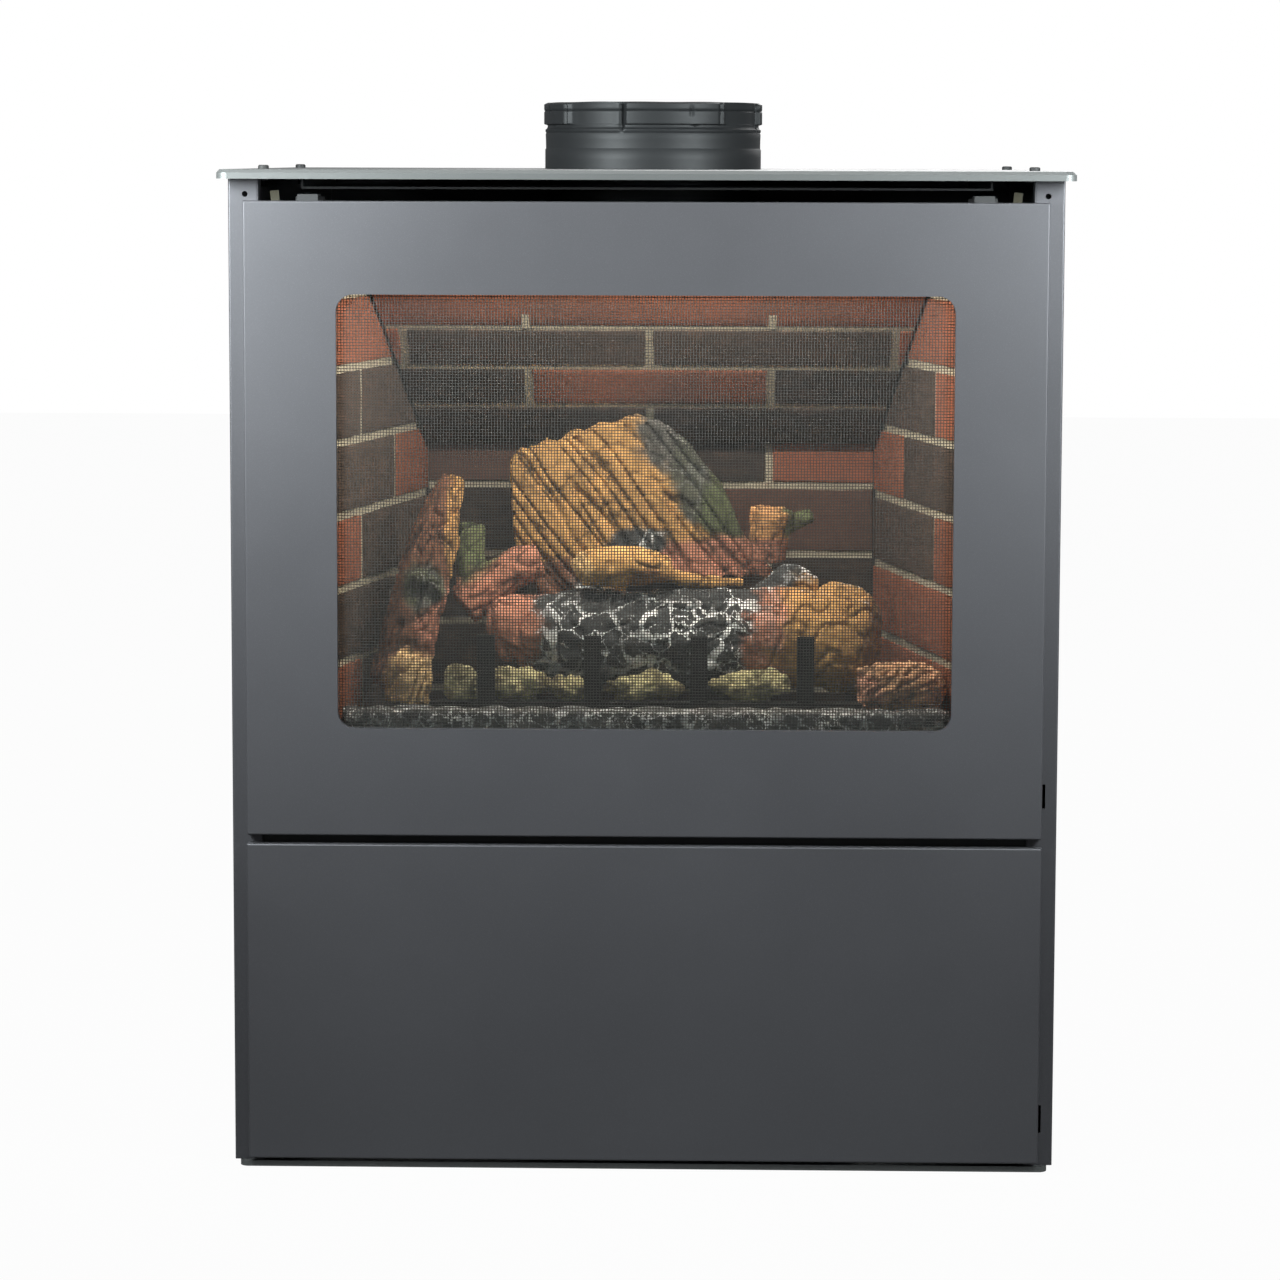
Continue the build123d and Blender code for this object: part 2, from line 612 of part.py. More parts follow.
def burner_tray():
    """The shallow burner box with two rows of flame ports."""
    wall = 3.0
    ports = 13
    port_pitch = 24.0
    tray = block((-TRAY_HALF, TRAY_HALF), TRAY_Y, (FLOOR_TOP, TRAY_TOP))
    tray = fillet(tray.edges().filter_by(Axis.Z), 10.0)
    inside = (TRAY_Y[0] + wall, TRAY_Y[1] - wall)
    tray -= block((wall - TRAY_HALF, TRAY_HALF - wall), inside, (FLOOR_TOP, TRAY_TOP - 2.0))
    port = block((-5.0, 5.0), (-1.2, 1.2), (TRAY_TOP - 3.0, TRAY_TOP + 1.0))
    for row_y in (-118.0, -48.0):
        for step in range(ports):
            tray -= Pos((step - (ports - 1) / 2) * port_pitch, row_y, 0) * port
    return tray


def air_shutter():
    """The burner's air shutter plate on its pull rod."""
    rod = peg(SHUTTER_ROD_RADIUS, SHUTTER_X, SHUTTER_ROD_Z, -172.0, -52.0)
    top = SHUTTER_ROD_Z + SHUTTER_ROD_RADIUS
    plate = block((SHUTTER_X - 18, SHUTTER_X + 18), (-72.0, -40.0), (top - 0.6, top + 1.0))
    knob = peg(5.0, SHUTTER_X, SHUTTER_ROD_Z, -178.0, -170.0)
    return rod + plate + fillet(knob.edges().sort_by(Axis.Y)[0], 1.5)


def lump(x, y, z, size, turn=0.0):
    """A rounded lump with the given half sizes."""
    return Pos(x, y, z) * Rot(0, 0, turn) * scale(Sphere(1.0), by=size)


def ember_strip():
    """The charcoal strip across the front of the fire: a bar with a lumpy top."""
    half = STRIP_HALF
    strip = block((-half, half), STRIP_Y, (FLOOR_TOP, 312.0))
    count = 15
    for step in range(count):
        x = -half + 14.0 + step * (2 * half - 28.0) / (count - 1)
        rise = 8.0 + 2.0 * sin(2.3 * step)
        strip += lump(x, -175.5 + 2.0 * cos(1.7 * step), 311.0, (15.5, 10.5, rise))
    return strip


def log_grate():
    """The steel grate: cross bars on feet, with four upright fingers at the front."""
    bar = (GRATE_TOP - 5.0, GRATE_TOP)
    front, back = GRATE_BAR_YS
    grate = block((-GRATE_HALF, GRATE_HALF), front, bar) + block((-GRATE_HALF, GRATE_HALF), back, bar)
    half = FINGER_WIDTH / 2
    for x in FINGER_XS:
        grate += block((x - 4.0, x + 4.0), (front[0] + 3.0, back[1] - 3.0), bar)
        grate += block((x - half, x + half), (front[0], front[0] + 3.0), (bar[0], FINGER_TOP))
    for y in GRATE_BAR_YS:
        grate += both(block((GRATE_HALF - 6.0, GRATE_HALF), y, (FLOOR_TOP, bar[1])))
    return grate


def limb(points, radii, flat=1.0):
    """A log-like solid: round sections of the given radii along a line of points."""
    path = [Vector(*point) for point in points]
    sections = []
    for index, point in enumerate(path):
        before = path[max(index - 1, 0)]
        after = path[min(index + 1, len(path) - 1)]
        direction = (after - before).normalized()
        sideways = direction.cross(Vector(0, 0, 1)).normalized()
        plane = Plane(origin=point, x_dir=sideways, z_dir=direction)
        sections.append(plane * Ellipse(radii[index] * flat, radii[index]))
    return loft(sections)


def rear_log():
    """The big split slab at the back, cut to its outline and leaning on the grate."""
    outline = [
        (-104.0, 487.0), (-94.0, 494.0), (-66.0, 506.0), (-28.0, 515.0), (4.0, 513.0), (30.0, 495.0),
        (58.0, 458.0), (72.0, 426.0), (94.0, 398.0), (38.0, 398.0), (-6.0, 402.0), (-30.0, 372.0),
        (-30.0, GRATE_TOP), (-72.0, GRATE_TOP), (-84.0, 392.0), (-100.0, 428.0),
    ]
    face = make_face(Polyline(*outline, close=True))
    face = fillet(face.vertices(), 4.0)
    slab = Plane(origin=(0, 8.0, 0), x_dir=(1, 0, 0), z_dir=(0, -1, 0)) * extrude(face, 50.0)
    return chamfer(slab.faces().sort_by(Axis.Y)[0].edges(), 3.0)


def front_log():
    """The charred front log with a knot at its right end, and a humped back."""
    trunk = limb(
        [(-112, -100, 368), (-60, -104, 363), (20, -106, 361), (100, -104, 362), (158, -100, 361)],
        [24.0, 33.0, 36.0, 38.0, 34.0],
        0.8,
    )
    hump = limb([(84, -78, 384), (104, -76, 394), (124, -74, 392)], [15.0, 18.0, 12.0])
    return trunk + hump


def left_log():
    """The tall log that leans on the left wall, with a knot half way up."""
    trunk = limb(
        [(-174, -128, 330), (-176, -104, 380), (-166, -80, 430), (-152, -62, 476)],
        [26.0, 25.0, 19.0, 9.0],
    )
    return trunk + lump(-163.0, -106.0, 398.0, (15.0, 14.0, 15.0))


def left_rear_log():
    """The thinner log behind the left one, lying towards the middle, with a mossy stub."""
    bough = limb(
        [(-140, -76, 376), (-118, -70, 394), (-92, -62, 410), (-76, -58, 414)],
        [14.0, 15.0, 14.0, 10.0],
    )
    return bough + limb([(-128, -70, 384), (-130, -48, 436)], [12.0, 8.0])


def cross_log():
    """The short branch across the front log, with a thin spur."""
    branch = limb([(-52, -112, 408), (-20, -112, 414), (12, -108, 412)], [11.0, 13.0, 11.0])
    return branch + limb([(6, -106, 410), (40, -96, 402), (70, -88, 400)], [7.0, 5.0, 3.0])


def stump_log():
    """The ringed stump at the right, with a short green branch."""
    stump = limb([(88, -62, 414), (89, -64, 432), (91, -66, 452)], [13.0, 15.0, 17.0])
    return stump + limb([(92, -62, 436), (108, -56, 442), (121, -52, 446)], [8.0, 7.0, 6.0])


def right_bark_chunk():
    """The bark block at the right front."""
    points = [(153, -146, 331), (176, -142, 333), (200, -136, 331), (212, -133, 330)]
    return limb(points, [15.0, 19.0, 18.0, 12.0])


def ember_chunks():
    """Loose glowing-bed chunks between the fingers."""
    return group([lump(x, CHUNK_Y, GRATE_TOP + height, (half, 8.0, height)) for x, half, height in CHUNKS])


def pilot_assembly():
    """Pilot bracket with hood, electrode and thermopile."""
    x, y = PILOT_AT
    bracket = block((x - 24, x + 24), (y - 6, y + 6), (FLOOR_TOP + 6.0, FLOOR_TOP + 7.5))
    bracket += block((x - 24, x - 22.5), (y - 6, y + 6), (FLOOR_TOP, FLOOR_TOP + 7.5))
    bracket += block((x + 22.5, x + 24), (y - 6, y + 6), (FLOOR_TOP, FLOOR_TOP + 7.5))
    bracket -= post(3.4, x, y, FLOOR_TOP, FLOOR_TOP + 9.0)
    hood = post(5.0, x, y, FLOOR_TOP + 7.5, 322.0)
    hood += block((x - 5, x + 5), (y - 18, y), (319.0, 320.5))
    thermopile = post(4.0, x + 14, y, FLOOR_TOP + 7.5, 334.0)
    electrode = post(1.6, x - 14, y, FLOOR_TOP + 7.5, 326.0)
    return group([bracket, hood, thermopile, electrode])


def gas_valve():
    """The valve body with its solenoid, bosses and spindle bores."""
    back = BRACKET_FRONT + SHEET
    body = block((20.0, 122.0), (back, -96.0), (94.0, 154.0))
    body = fillet(body.edges().filter_by(Axis.Y), 5.0)
    body += block((34.0, 84.0), (-96.0, -78.0), (100.0, 148.0))
    body += peg(14.0, 100.0, 112.0, -96.0, -74.0)
    body += post(9.0, MANIFOLD_AT[0] + 6.0, -110.0, 150.0, 160.0)
    body += post(6.0, 90.0, -110.0, 150.0, 159.0)
    body -= peg(SPINDLE_RADIUS + RUNNING_CLEARANCE, *GAS_KNOB_AT, back, -122.0)
    return body - peg(3.0 + RUNNING_CLEARANCE, *FLAME_KNOB_AT, back, -124.0)


def gas_knob_spindle():
    """The spindle the gas knob sits on; it presses in to open the pilot."""
    spindle = peg(SPINDLE_RADIUS, *GAS_KNOB_AT, -170.0, -129.0)
    return chamfer(spindle.edges().sort_by(Axis.Y)[0], 0.6)


def knob(at, radius, y, grip):
    """A round knob with a raised finger grip and a pointer groove on its face."""
    x, z = at
    body = peg(radius, x, z, y[0] + grip, y[1])
    body = fillet(body.edges().sort_by(Axis.Y)[0], 1.5)
    half = (radius * 0.24, radius * 0.86)
    bar = block((x - half[0], x + half[0]), (y[0], y[1] - 1), (z - half[1], z + half[1]))
    bar = fillet(bar.edges().filter_by(Axis.Y), radius * 0.2)
    groove = block((x - 0.6, x + 0.6), (y[0] - 1, y[0] + 0.6), (z + radius * 0.2, z + radius))
    return body + bar - groove


def gas_knob():
    """The off, pilot and on knob."""
    body = knob(GAS_KNOB_AT, 18.0, (-182.0, -158.0), 9.0)
    return body - peg(SPINDLE_RADIUS + RUNNING_CLEARANCE, *GAS_KNOB_AT, -170.5, -157.0)


def flame_knob():
    """The flame height knob with its own stem."""
    body = knob(FLAME_KNOB_AT, 13.0, (-174.0, -157.0), 6.0)
    return body + peg(3.0, *FLAME_KNOB_AT, -157.5, -125.0)


def igniter_body():
    """The spark igniter's barrel with its bezel, nut and terminal."""
    body = peg(9.0, *IGNITER_AT, BRACKET_FRONT, -104.0)
    body += peg(12.5, *IGNITER_AT, BRACKET_FRONT - 3.0, BRACKET_FRONT)
    body += peg(12.0, *IGNITER_AT, BRACKET_FRONT + SHEET, BRACKET_FRONT + SHEET + 4.0)
    body += peg(1.6, *IGNITER_AT, -104.0, -96.0)
    return body - peg(7.0 + RUNNING_CLEARANCE, *IGNITER_AT, BRACKET_FRONT - 3.0, -128.0)


def igniter_button():
    """The igniter's push button."""
    button = peg(7.0, *IGNITER_AT, -161.0, -137.0)
    return fillet(button.edges().sort_by(Axis.Y)[0], 1.5)


def both_terminals(x, z):
    """Two blade terminals at the back of the switch."""
    blade = block((x - 3, x + 3), (-128.0, -119.0), (-0.4, 0.4))
    return Pos(0, 0, z - 7) * blade + Pos(0, 0, z + 7) * blade


def rocker_pin(radius, length):
    """A bar along the rocker's cross pin."""
    x, z = SWITCH_AT
    return Pos(x, ROCKER_Y, z) * Rot(0, 90, 0) * Cylinder(radius, length)


def switch_housing():
    """The rocker switch housing with its bezel, two terminals and the holes for the rocker's pin."""
    x, z = SWITCH_AT
    body = block((x - 9, x + 9), (BRACKET_FRONT, -128.0), (z - 16, z + 16))
    body += block((x - 12, x + 12), (BRACKET_FRONT - 2.0, BRACKET_FRONT), (z - 19, z + 19))
    body += both_terminals(x, z)
    body -= block((x - 6.5, x + 6.5), (BRACKET_FRONT - 2.0, -134.0), (z - 13.5, z + 13.5))
    return body - rocker_pin(ROCKER_PIN_RADIUS + RUNNING_CLEARANCE, 18.0)


def switch_rocker():
    """The rocker, shown at its off position, tilted about its cross pin."""
    x, z = SWITCH_AT
    outline = [(-9.5, -10.5), (-6.6, 0), (-9.5, 10.5), (-3.0, 10.5), (3.0, 4.0), (3.0, -4.0), (-3.0, -10.5)]
    face = Plane.YZ * make_face(Polyline(*outline, close=True))
    rocker = extrude(face, 6.0, both=True)
    return Pos(x, ROCKER_Y, z) * Rot(ROCKER_TILT, 0, 0) * rocker + rocker_pin(ROCKER_PIN_RADIUS, 16.0)


def control_bracket():
    """The upright plate that carries the valve, igniter and switch."""
    y = (BRACKET_FRONT, BRACKET_FRONT + SHEET)
    plate = block(BRACKET_X, y, (BASE_THICKNESS, BRACKET_TOP))
    plate = fillet(plate.edges().filter_by(Axis.Y).group_by(Axis.Z)[-1], 8.0)
    plate += block(BRACKET_X, (y[0], -118.0), (BASE_THICKNESS, BASE_THICKNESS + SHEET))
    plate -= peg(7.5, *GAS_KNOB_AT, *y)
    plate -= peg(5.0, *FLAME_KNOB_AT, *y)
    plate -= peg(9.0, *IGNITER_AT, *y)
    x, z = SWITCH_AT
    return plate - block((x - 9, x + 9), y, (z - 16, z + 16))


def tube(points, radii, radius):
    """A bent tube, solid in section, along straight runs with rounded corners."""
    path = FilletPolyline(*points, radius=radii)
    start = Plane(origin=path @ 0, z_dir=path % 0)
    return sweep(start * Circle(radius), path=path)


def gas_tubes():
    """Manifold, pilot and inlet tubes."""
    x, y = MANIFOLD_AT
    riser = (x + 6.0, -110.0)
    manifold = tube([(*riser, 160), (*riser, 205), (x, y, 225), (x, y, 284)], [18.0, 18.0], 4.75)
    px, py = PILOT_AT
    end = FLOOR_TOP + 7.5
    pilot = tube([(90, -110, 159), (90, -110, 240), (px, py, 240), (px, py, end)], [18.0, 18.0], 3.0)
    ix, iz = INLET_AT
    inlet = tube(
        [(122, -110, 110), (ix + 20, -110, 110), (ix + 20, 150, 110), (ix, 150, iz), (ix, 190, iz)],
        [22.0, 22.0, 18.0],
        4.75,
    )
    return group([manifold, pilot, inlet])


def gas_fittings():
    """The inlet fitting on its bracket behind the rear panel's hole, and the burner orifice."""
    x, z = INLET_AT
    shoulder, seat = INLET_SHOULDER
    front = seat - 2.0
    hexagon = Pos(x, front, z) * Rot(90, 0, 0) * extrude(RegularPolygon(12.0, 6), 15.0)
    fitting = hexagon + peg(shoulder, x, z, front, seat) + peg(INLET_RADIUS, x, z, seat, INLET_END)
    bracket = block((x - 22, x + 22), (front, seat), (BASE_THICKNESS, z + 22))
    bracket += block((x - 22, x + 22), (front - 20.0, seat), (BASE_THICKNESS, BASE_THICKNESS + SHEET))
    bracket -= peg(shoulder, x, z, front, seat)
    mx, my = MANIFOLD_AT
    orifice = post(5.9, mx, my, 284.0, 292.0) + post(3.0, mx, my, 292.0, 296.0)
    return group([fitting, bracket, orifice])


def build_all():
    """Every node's solid by name."""
    right = side_panel()
    brick = brick_side()
    latch = glass_latch()
    return {
        "base_plate": base_plate(),
        "left_side_panel": mirror(right, about=Plane.YZ) - hook_slots((-277.0, -270.0)),
        "right_side_panel": right - hook_slots((272.0, 279.5)),
        "rear_panel": rear_panel(),
        "top_plate": top_plate(),
        "casing_screws": casing_screws(),
        "front_cross_rail": front_cross_rail(),
        "mid_rail": mid_rail(),
        "top_heat_shield": top_heat_shield(),
        "firebox_stands": firebox_stands(),
        "firebox_floor": firebox_floor(),
        "firebox_walls": firebox_walls(),
        "firebox_roof": firebox_roof(),
        "firebox_front_plate": firebox_front_plate(),
        "air_intake_duct": air_intake_duct(),
        "outer_air_collar": outer_air_collar(),
        "inner_flue_collar": inner_flue_collar(),
        "brick_panel_left": mirror(brick, about=Plane.YZ),
        "brick_panel_right": brick,
        "brick_panel_rear_lower": brick_rear_lower(),
        "brick_panel_rear_upper": brick_rear_upper(),
        "glass_frame": glass_frame(),
        "window_glass": window_glass(),
        "glass_gasket": glass_gasket(),
        "left_glass_latch": mirror(latch, about=Plane.YZ),
        "right_glass_latch": latch,
        "latch_screws": latch_screws(),
        "front_face": front_face(),
        "front_hanger_tabs": front_hanger_tabs(),
        "mesh_screen": mesh_screen(),
        "mesh_retainer": mesh_retainer(),
        "lower_door": lower_door(),
        "lower_door_heat_shield": lower_door_heat_shield(),
        "lower_door_pins": lower_door_pins(),
        "hinge_brackets": hinge_brackets(),
        "magnet_catches": magnet_catches(),
        "burner_tray": burner_tray(),
        "air_shutter": air_shutter(),
        "ember_strip": ember_strip(),
        "log_grate": log_grate(),
        "rear_log": rear_log(),
        "front_log": front_log(),
        "left_log": left_log(),
        "left_rear_log": left_rear_log(),
        "cross_log": cross_log(),
        "stump_log": stump_log(),
        "right_bark_chunk": right_bark_chunk(),
        "ember_chunks": ember_chunks(),
        "pilot_assembly": pilot_assembly(),
        "gas_valve": gas_valve(),
        "gas_knob_spindle": gas_knob_spindle(),
        "gas_knob": gas_knob(),
        "flame_knob": flame_knob(),
        "igniter_body": igniter_body(),
        "igniter_button": igniter_button(),
        "switch_housing": switch_housing(),
        "switch_rocker": switch_rocker(),
        "control_bracket": control_bracket(),
        "gas_tubes": gas_tubes(),
        "gas_fittings": gas_fittings(),
    }


os.makedirs("parts", exist_ok=True)
for name, shape in build_all().items():
    export_step(shape, f"parts/{name}.step")
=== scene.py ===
"""Pedestal gas stove: paints and metals, woven screen, brick lining, ceramic logs, vent collar and studio."""

import json
import logging
import math
import random
from collections.abc import Callable, Iterable
from dataclasses import dataclass
from enum import Enum

import bpy
import numpy as np
from mathutils import Euler, Matrix, Vector, noise


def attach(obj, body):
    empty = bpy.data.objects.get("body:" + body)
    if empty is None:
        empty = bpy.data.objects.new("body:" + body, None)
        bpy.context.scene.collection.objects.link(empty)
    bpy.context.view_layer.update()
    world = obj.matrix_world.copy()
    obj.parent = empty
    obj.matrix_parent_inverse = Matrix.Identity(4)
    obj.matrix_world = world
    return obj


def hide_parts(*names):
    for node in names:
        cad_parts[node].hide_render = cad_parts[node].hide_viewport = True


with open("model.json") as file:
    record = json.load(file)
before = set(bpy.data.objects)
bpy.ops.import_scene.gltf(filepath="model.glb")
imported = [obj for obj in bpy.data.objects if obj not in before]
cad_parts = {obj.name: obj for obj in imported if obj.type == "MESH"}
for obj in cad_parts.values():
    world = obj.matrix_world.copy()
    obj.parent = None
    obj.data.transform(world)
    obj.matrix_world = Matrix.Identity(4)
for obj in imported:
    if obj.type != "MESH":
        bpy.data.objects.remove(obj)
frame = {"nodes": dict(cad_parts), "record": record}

LOG = logging.getLogger("stove")
MM = 0.001
Triple = tuple[float, float, float]


def paint(red: float, green: float, blue: float) -> tuple[float, float, float, float]:
    """A screen colour of 0 to 255 as the linear colour that a shader takes.

    Args:
        red, green, blue: the colour as a picture shows it.

    Returns:
        Linear red, green and blue, with an alpha of 1.
    """
    linear = []
    for value in (red, green, blue):
        share = value / 255.0
        linear.append(share / 12.92 if share <= 0.04045 else ((share + 0.055) / 1.055) ** 2.4)
    return (*linear, 1.0)


class Socket:
    """One output of a shader node; arithmetic on it adds Math nodes."""

    def __init__(self, sheet: "Sheet", output: bpy.types.NodeSocket) -> None:
        """Wraps an output of the sheet's tree."""
        self.sheet = sheet
        self.output = output

    def math(self, operation: str, first: object, second: object = 0.0) -> "Socket":
        """One Math node on two values or sockets."""
        return self.sheet.node("ShaderNodeMath", {"operation": operation}, {0: first, 1: second})

    def __add__(self, other: object) -> "Socket":
        """Sum."""
        return self.math("ADD", self, other)

    def __sub__(self, other: object) -> "Socket":
        """Difference."""
        return self.math("SUBTRACT", self, other)

    def __rsub__(self, other: object) -> "Socket":
        """Difference from a number."""
        return self.math("SUBTRACT", other, self)

    def __mul__(self, other: object) -> "Socket":
        """Product."""
        return self.math("MULTIPLY", self, other)

    def __truediv__(self, other: object) -> "Socket":
        """Quotient."""
        return self.math("DIVIDE", self, other)

    def __pow__(self, other: object) -> "Socket":
        """Power."""
        return self.math("POWER", self, other)

    def __lt__(self, other: object) -> "Socket":
        """1 where the value is under the other, else 0."""
        return self.math("LESS_THAN", self, other)

    def __abs__(self) -> "Socket":
        """Size without sign."""
        return self.math("ABSOLUTE", self)

    __radd__ = __add__
    __rmul__ = __mul__

    def rise(self, low: float, high: float) -> "Socket":
        """0 under low, 1 over high, smooth between them; turned over where low is the larger."""
        ends = {1: low, 2: high}
        settings = {"interpolation_type": "SMOOTHSTEP"}
        if low < high:
            return self.sheet.node("ShaderNodeMapRange", settings, {0: self, **ends})
        return self.sheet.node("ShaderNodeMapRange", settings, {0: self, 1: high, 2: low, 3: 1.0, 4: 0.0})


class Sheet:
    """A material's node tree, empty at first."""

    def __init__(self, name: str) -> None:
        """Makes the material."""
        self.material = bpy.data.materials.new(name)
        self.material.use_nodes = True
        self.material.node_tree.nodes.clear()

    def node(self, kind: str, settings: dict | None = None, inputs: dict | None = None, out: int | str = 0) -> Socket:
        """Adds one node.

        Args:
            kind: the node's type name.
            settings: its properties, set first; "stops" holds a ramp's places and colours.
            inputs: values or sockets by the input's name or number.
            out: which output to return.

        Returns:
            The output, wrapped.
        """
        node = self.material.node_tree.nodes.new(kind)
        for key, value in (settings or {}).items():
            if key != "stops":
                setattr(node, key, value)
                continue
            ramp = node.color_ramp
            while len(ramp.elements) < len(value):
                ramp.elements.new(1.0)
            for element, (place, colour) in zip(ramp.elements, value):
                element.position = place
                element.color = colour
        for key, value in (inputs or {}).items():
            if isinstance(value, Socket):
                self.material.node_tree.links.new(value.output, node.inputs[key])
            else:
                node.inputs[key].default_value = value
        return Socket(self, node.outputs[out])

    def place(self, stretch: Triple = (1.0, 1.0, 1.0), turn: Triple = (0.0, 0.0, 0.0)) -> Socket:
        """Object coordinates, stretched and turned, in metres before the stretch."""
        point = self.node("ShaderNodeTexCoord", out="Object")
        return self.node("ShaderNodeMapping", inputs={"Vector": point, "Scale": stretch, "Rotation": turn})

    def noise(self, scale: float, detail: float = 3.0, rough: float = 0.55, at: Socket | None = None,
              bend: float = 0.0) -> Socket:
        """Noise of about 0 to 1 with a mean of a half.

        Args:
            scale: patches per metre.
            detail: how many finer layers it has.
            rough: how strong those are.
            at: where it is read, the object's own coordinates if left out.
            bend: how far it is distorted.

        Returns:
            The noise's value.
        """
        inputs = {"Vector": at or self.place(), "Scale": scale, "Detail": detail, "Roughness": rough,
                  "Distortion": bend}
        return self.node("ShaderNodeTexNoise", inputs=inputs)

    def cells(self, scale: float, feature: str = "F1", at: Socket | None = None, out: str = "Distance") -> Socket:
        """A Voronoi pattern's distance, or its cell colour."""
        return self.node("ShaderNodeTexVoronoi", {"feature": feature}, {"Vector": at or self.place(), "Scale": scale}, out)

    def mix(self, share: object, first: object, second: object, blend: str = "MIX") -> Socket:
        """Two colours mixed by a share of 0 to 1."""
        settings = {"data_type": "RGBA", "blend_type": blend}
        return self.node("ShaderNodeMix", settings, {0: share, 6: first, 7: second}, 2)

    def ramp(self, value: Socket, stops: list) -> Socket:
        """A colour ramp on a value."""
        return self.node("ShaderNodeValToRGB", {"stops": stops}, {0: value})

    def bump(self, height: Socket, strength: float, depth: float) -> Socket:
        """A bumped normal.

        Args:
            height: 0 to 1.
            strength: 0 to 1.
            depth: what a height of 1 stands for, in metres.

        Returns:
            The normal.
        """
        return self.node("ShaderNodeBump", inputs={"Strength": strength, "Distance": depth, "Height": height})

    def surface(self, **inputs: object) -> bpy.types.Material:
        """Ends the tree in a Principled surface.

        Args:
            inputs: its inputs, with _ for the spaces in their names.

        Returns:
            The finished material.
        """
        named = {key.replace("_", " "): value for key, value in inputs.items()}
        return self.end(self.node("ShaderNodeBsdfPrincipled", inputs=named))

    def end(self, shader: Socket) -> bpy.types.Material:
        """Ends the tree in any shader."""
        self.node_output = self.material.node_tree.nodes.new("ShaderNodeOutputMaterial")
        self.material.node_tree.links.new(shader.output, self.node_output.inputs["Surface"])
        return self.material


class Finish:
    """A finish that can be put on pieces; each kind writes its own nodes."""

    def write(self, sheet: Sheet) -> bpy.types.Material:
        """Writes the finish's nodes."""
        raise NotImplementedError

    def made(self, name: str) -> bpy.types.Material:
        """The finish as a material of that name."""
        return self.write(Sheet(name))


@dataclass(frozen=True)
class MetallicPaint(Finish):
    """Satin stove paint with fine mica in it, a little rubbed and dusty.

    Attributes:
        colour: the paint's colour.
        metallic: the share of the surface that shines as mica.
        roughness: its mean roughness.
        sparkle: how much single flakes stand out.
        shine: how strongly its binder mirrors.
    """

    colour: Triple
    metallic: float = 0.35
    roughness: float = 0.45
    sparkle: float = 0.35
    shine: float = 0.5

    def write(self, sheet: Sheet) -> bpy.types.Material:
        """Flakes from fine noise, soft clouds of tone, and a light orange-peel bump."""
        flake = sheet.noise(2600.0, 2.0, 0.8)
        bright = flake.rise(0.56, 0.75) * self.sparkle
        cloud = sheet.noise(7.0, 3.0)
        base = paint(*self.colour)
        dark = tuple(channel * 0.86 for channel in base[:3]) + (1.0,)
        light = tuple(min(1.0, channel * 2.6 + 0.02) for channel in base[:3]) + (1.0,)
        colour = sheet.mix(bright, sheet.mix(cloud, dark, base), light)
        peel = sheet.noise(900.0, 2.0) * 0.6 + flake * 0.4
        rough = cloud * 0.08 + (self.roughness - 0.04) + sheet.noise(160.0, 2.0) * 0.05
        return sheet.surface(Base_Color=colour, Metallic=self.metallic, Roughness=rough, Specular_IOR_Level=self.shine,
                             Normal=sheet.bump(peel, 0.25, 0.00006))


@dataclass(frozen=True)
class SootBlack(Finish):
    """Flat heat-proof black inside the casing, with a faint dust."""

    colour: Triple = (24, 24, 25)
    dust: Triple = (66, 64, 61)
    roughness: float = 0.62

    def write(self, sheet: Sheet) -> bpy.types.Material:
        """Dust gathers in soft patches."""
        patch = sheet.noise(28.0, 5.0, 0.65).rise(0.45, 0.85) * 0.35
        grain = sheet.noise(1400.0, 2.0, 0.7)
        colour = sheet.mix(patch + grain * 0.1, paint(*self.colour), paint(*self.dust))
        return sheet.surface(Base_Color=colour, Metallic=0.15, Roughness=patch * 0.3 + self.roughness,
                             Normal=sheet.bump(grain, 0.3, 0.00005))


class Grain(Enum):
    """How a bare metal's surface runs."""

    SPANGLED = "spangled"
    BRUSHED = "brushed"
    CAST = "cast"
    CLOUDED = "clouded"


@dataclass(frozen=True)
class BareMetal(Finish):
    """An unpainted metal, told apart by its grain.

    Attributes:
        colour: the metal's main colour.
        tint: the colour of its patches.
        grain: how its surface runs.
        roughness: its mean roughness.
    """

    colour: Triple
    tint: Triple
    grain: Grain
    roughness: float = 0.36

    def write(self, sheet: Sheet) -> bpy.types.Material:
        """Patches follow the grain."""
        if self.grain is Grain.SPANGLED:
            cell = sheet.cells(140.0, out="Color")
            pattern = sheet.node("ShaderNodeSeparateColor", inputs={0: cell})
        elif self.grain is Grain.BRUSHED:
            pattern = sheet.noise(420.0, 3.0, at=sheet.place((1.0, 1.0, 0.05)))
        elif self.grain is Grain.CAST:
            pattern = sheet.noise(520.0, 4.0, 0.7)
        else:
            pattern = sheet.noise(60.0, 4.0, 0.6, bend=0.8)
        wear = sheet.noise(45.0, 5.0, 0.6)
        colour = sheet.mix(pattern * 0.75 + wear * 0.25, paint(*self.colour), paint(*self.tint))
        deep = 0.0003 if self.grain is Grain.CAST else 0.00003
        return sheet.surface(Base_Color=colour, Metallic=0.95, Roughness=pattern * 0.16 + (self.roughness - 0.08),
                             Normal=sheet.bump(pattern, 0.35, deep))


@dataclass(frozen=True)
class MouldedPlastic(Finish):
    """Textured moulded plastic of the knobs, the button and the switch."""

    colour: Triple
    roughness: float = 0.48

    def write(self, sheet: Sheet) -> bpy.types.Material:
        """A fine spark-eroded texture with slight handling shine."""
        texture = sheet.noise(1800.0, 3.0, 0.7)
        shine = sheet.noise(35.0, 3.0)
        base = paint(*self.colour)
        light = tuple(channel * 1.35 + 0.006 for channel in base[:3]) + (1.0,)
        return sheet.surface(Base_Color=sheet.mix(texture * 0.5, base, light),
                             Roughness=shine * 0.2 + (self.roughness - 0.1),
                             Normal=sheet.bump(texture, 0.3, 0.00006))


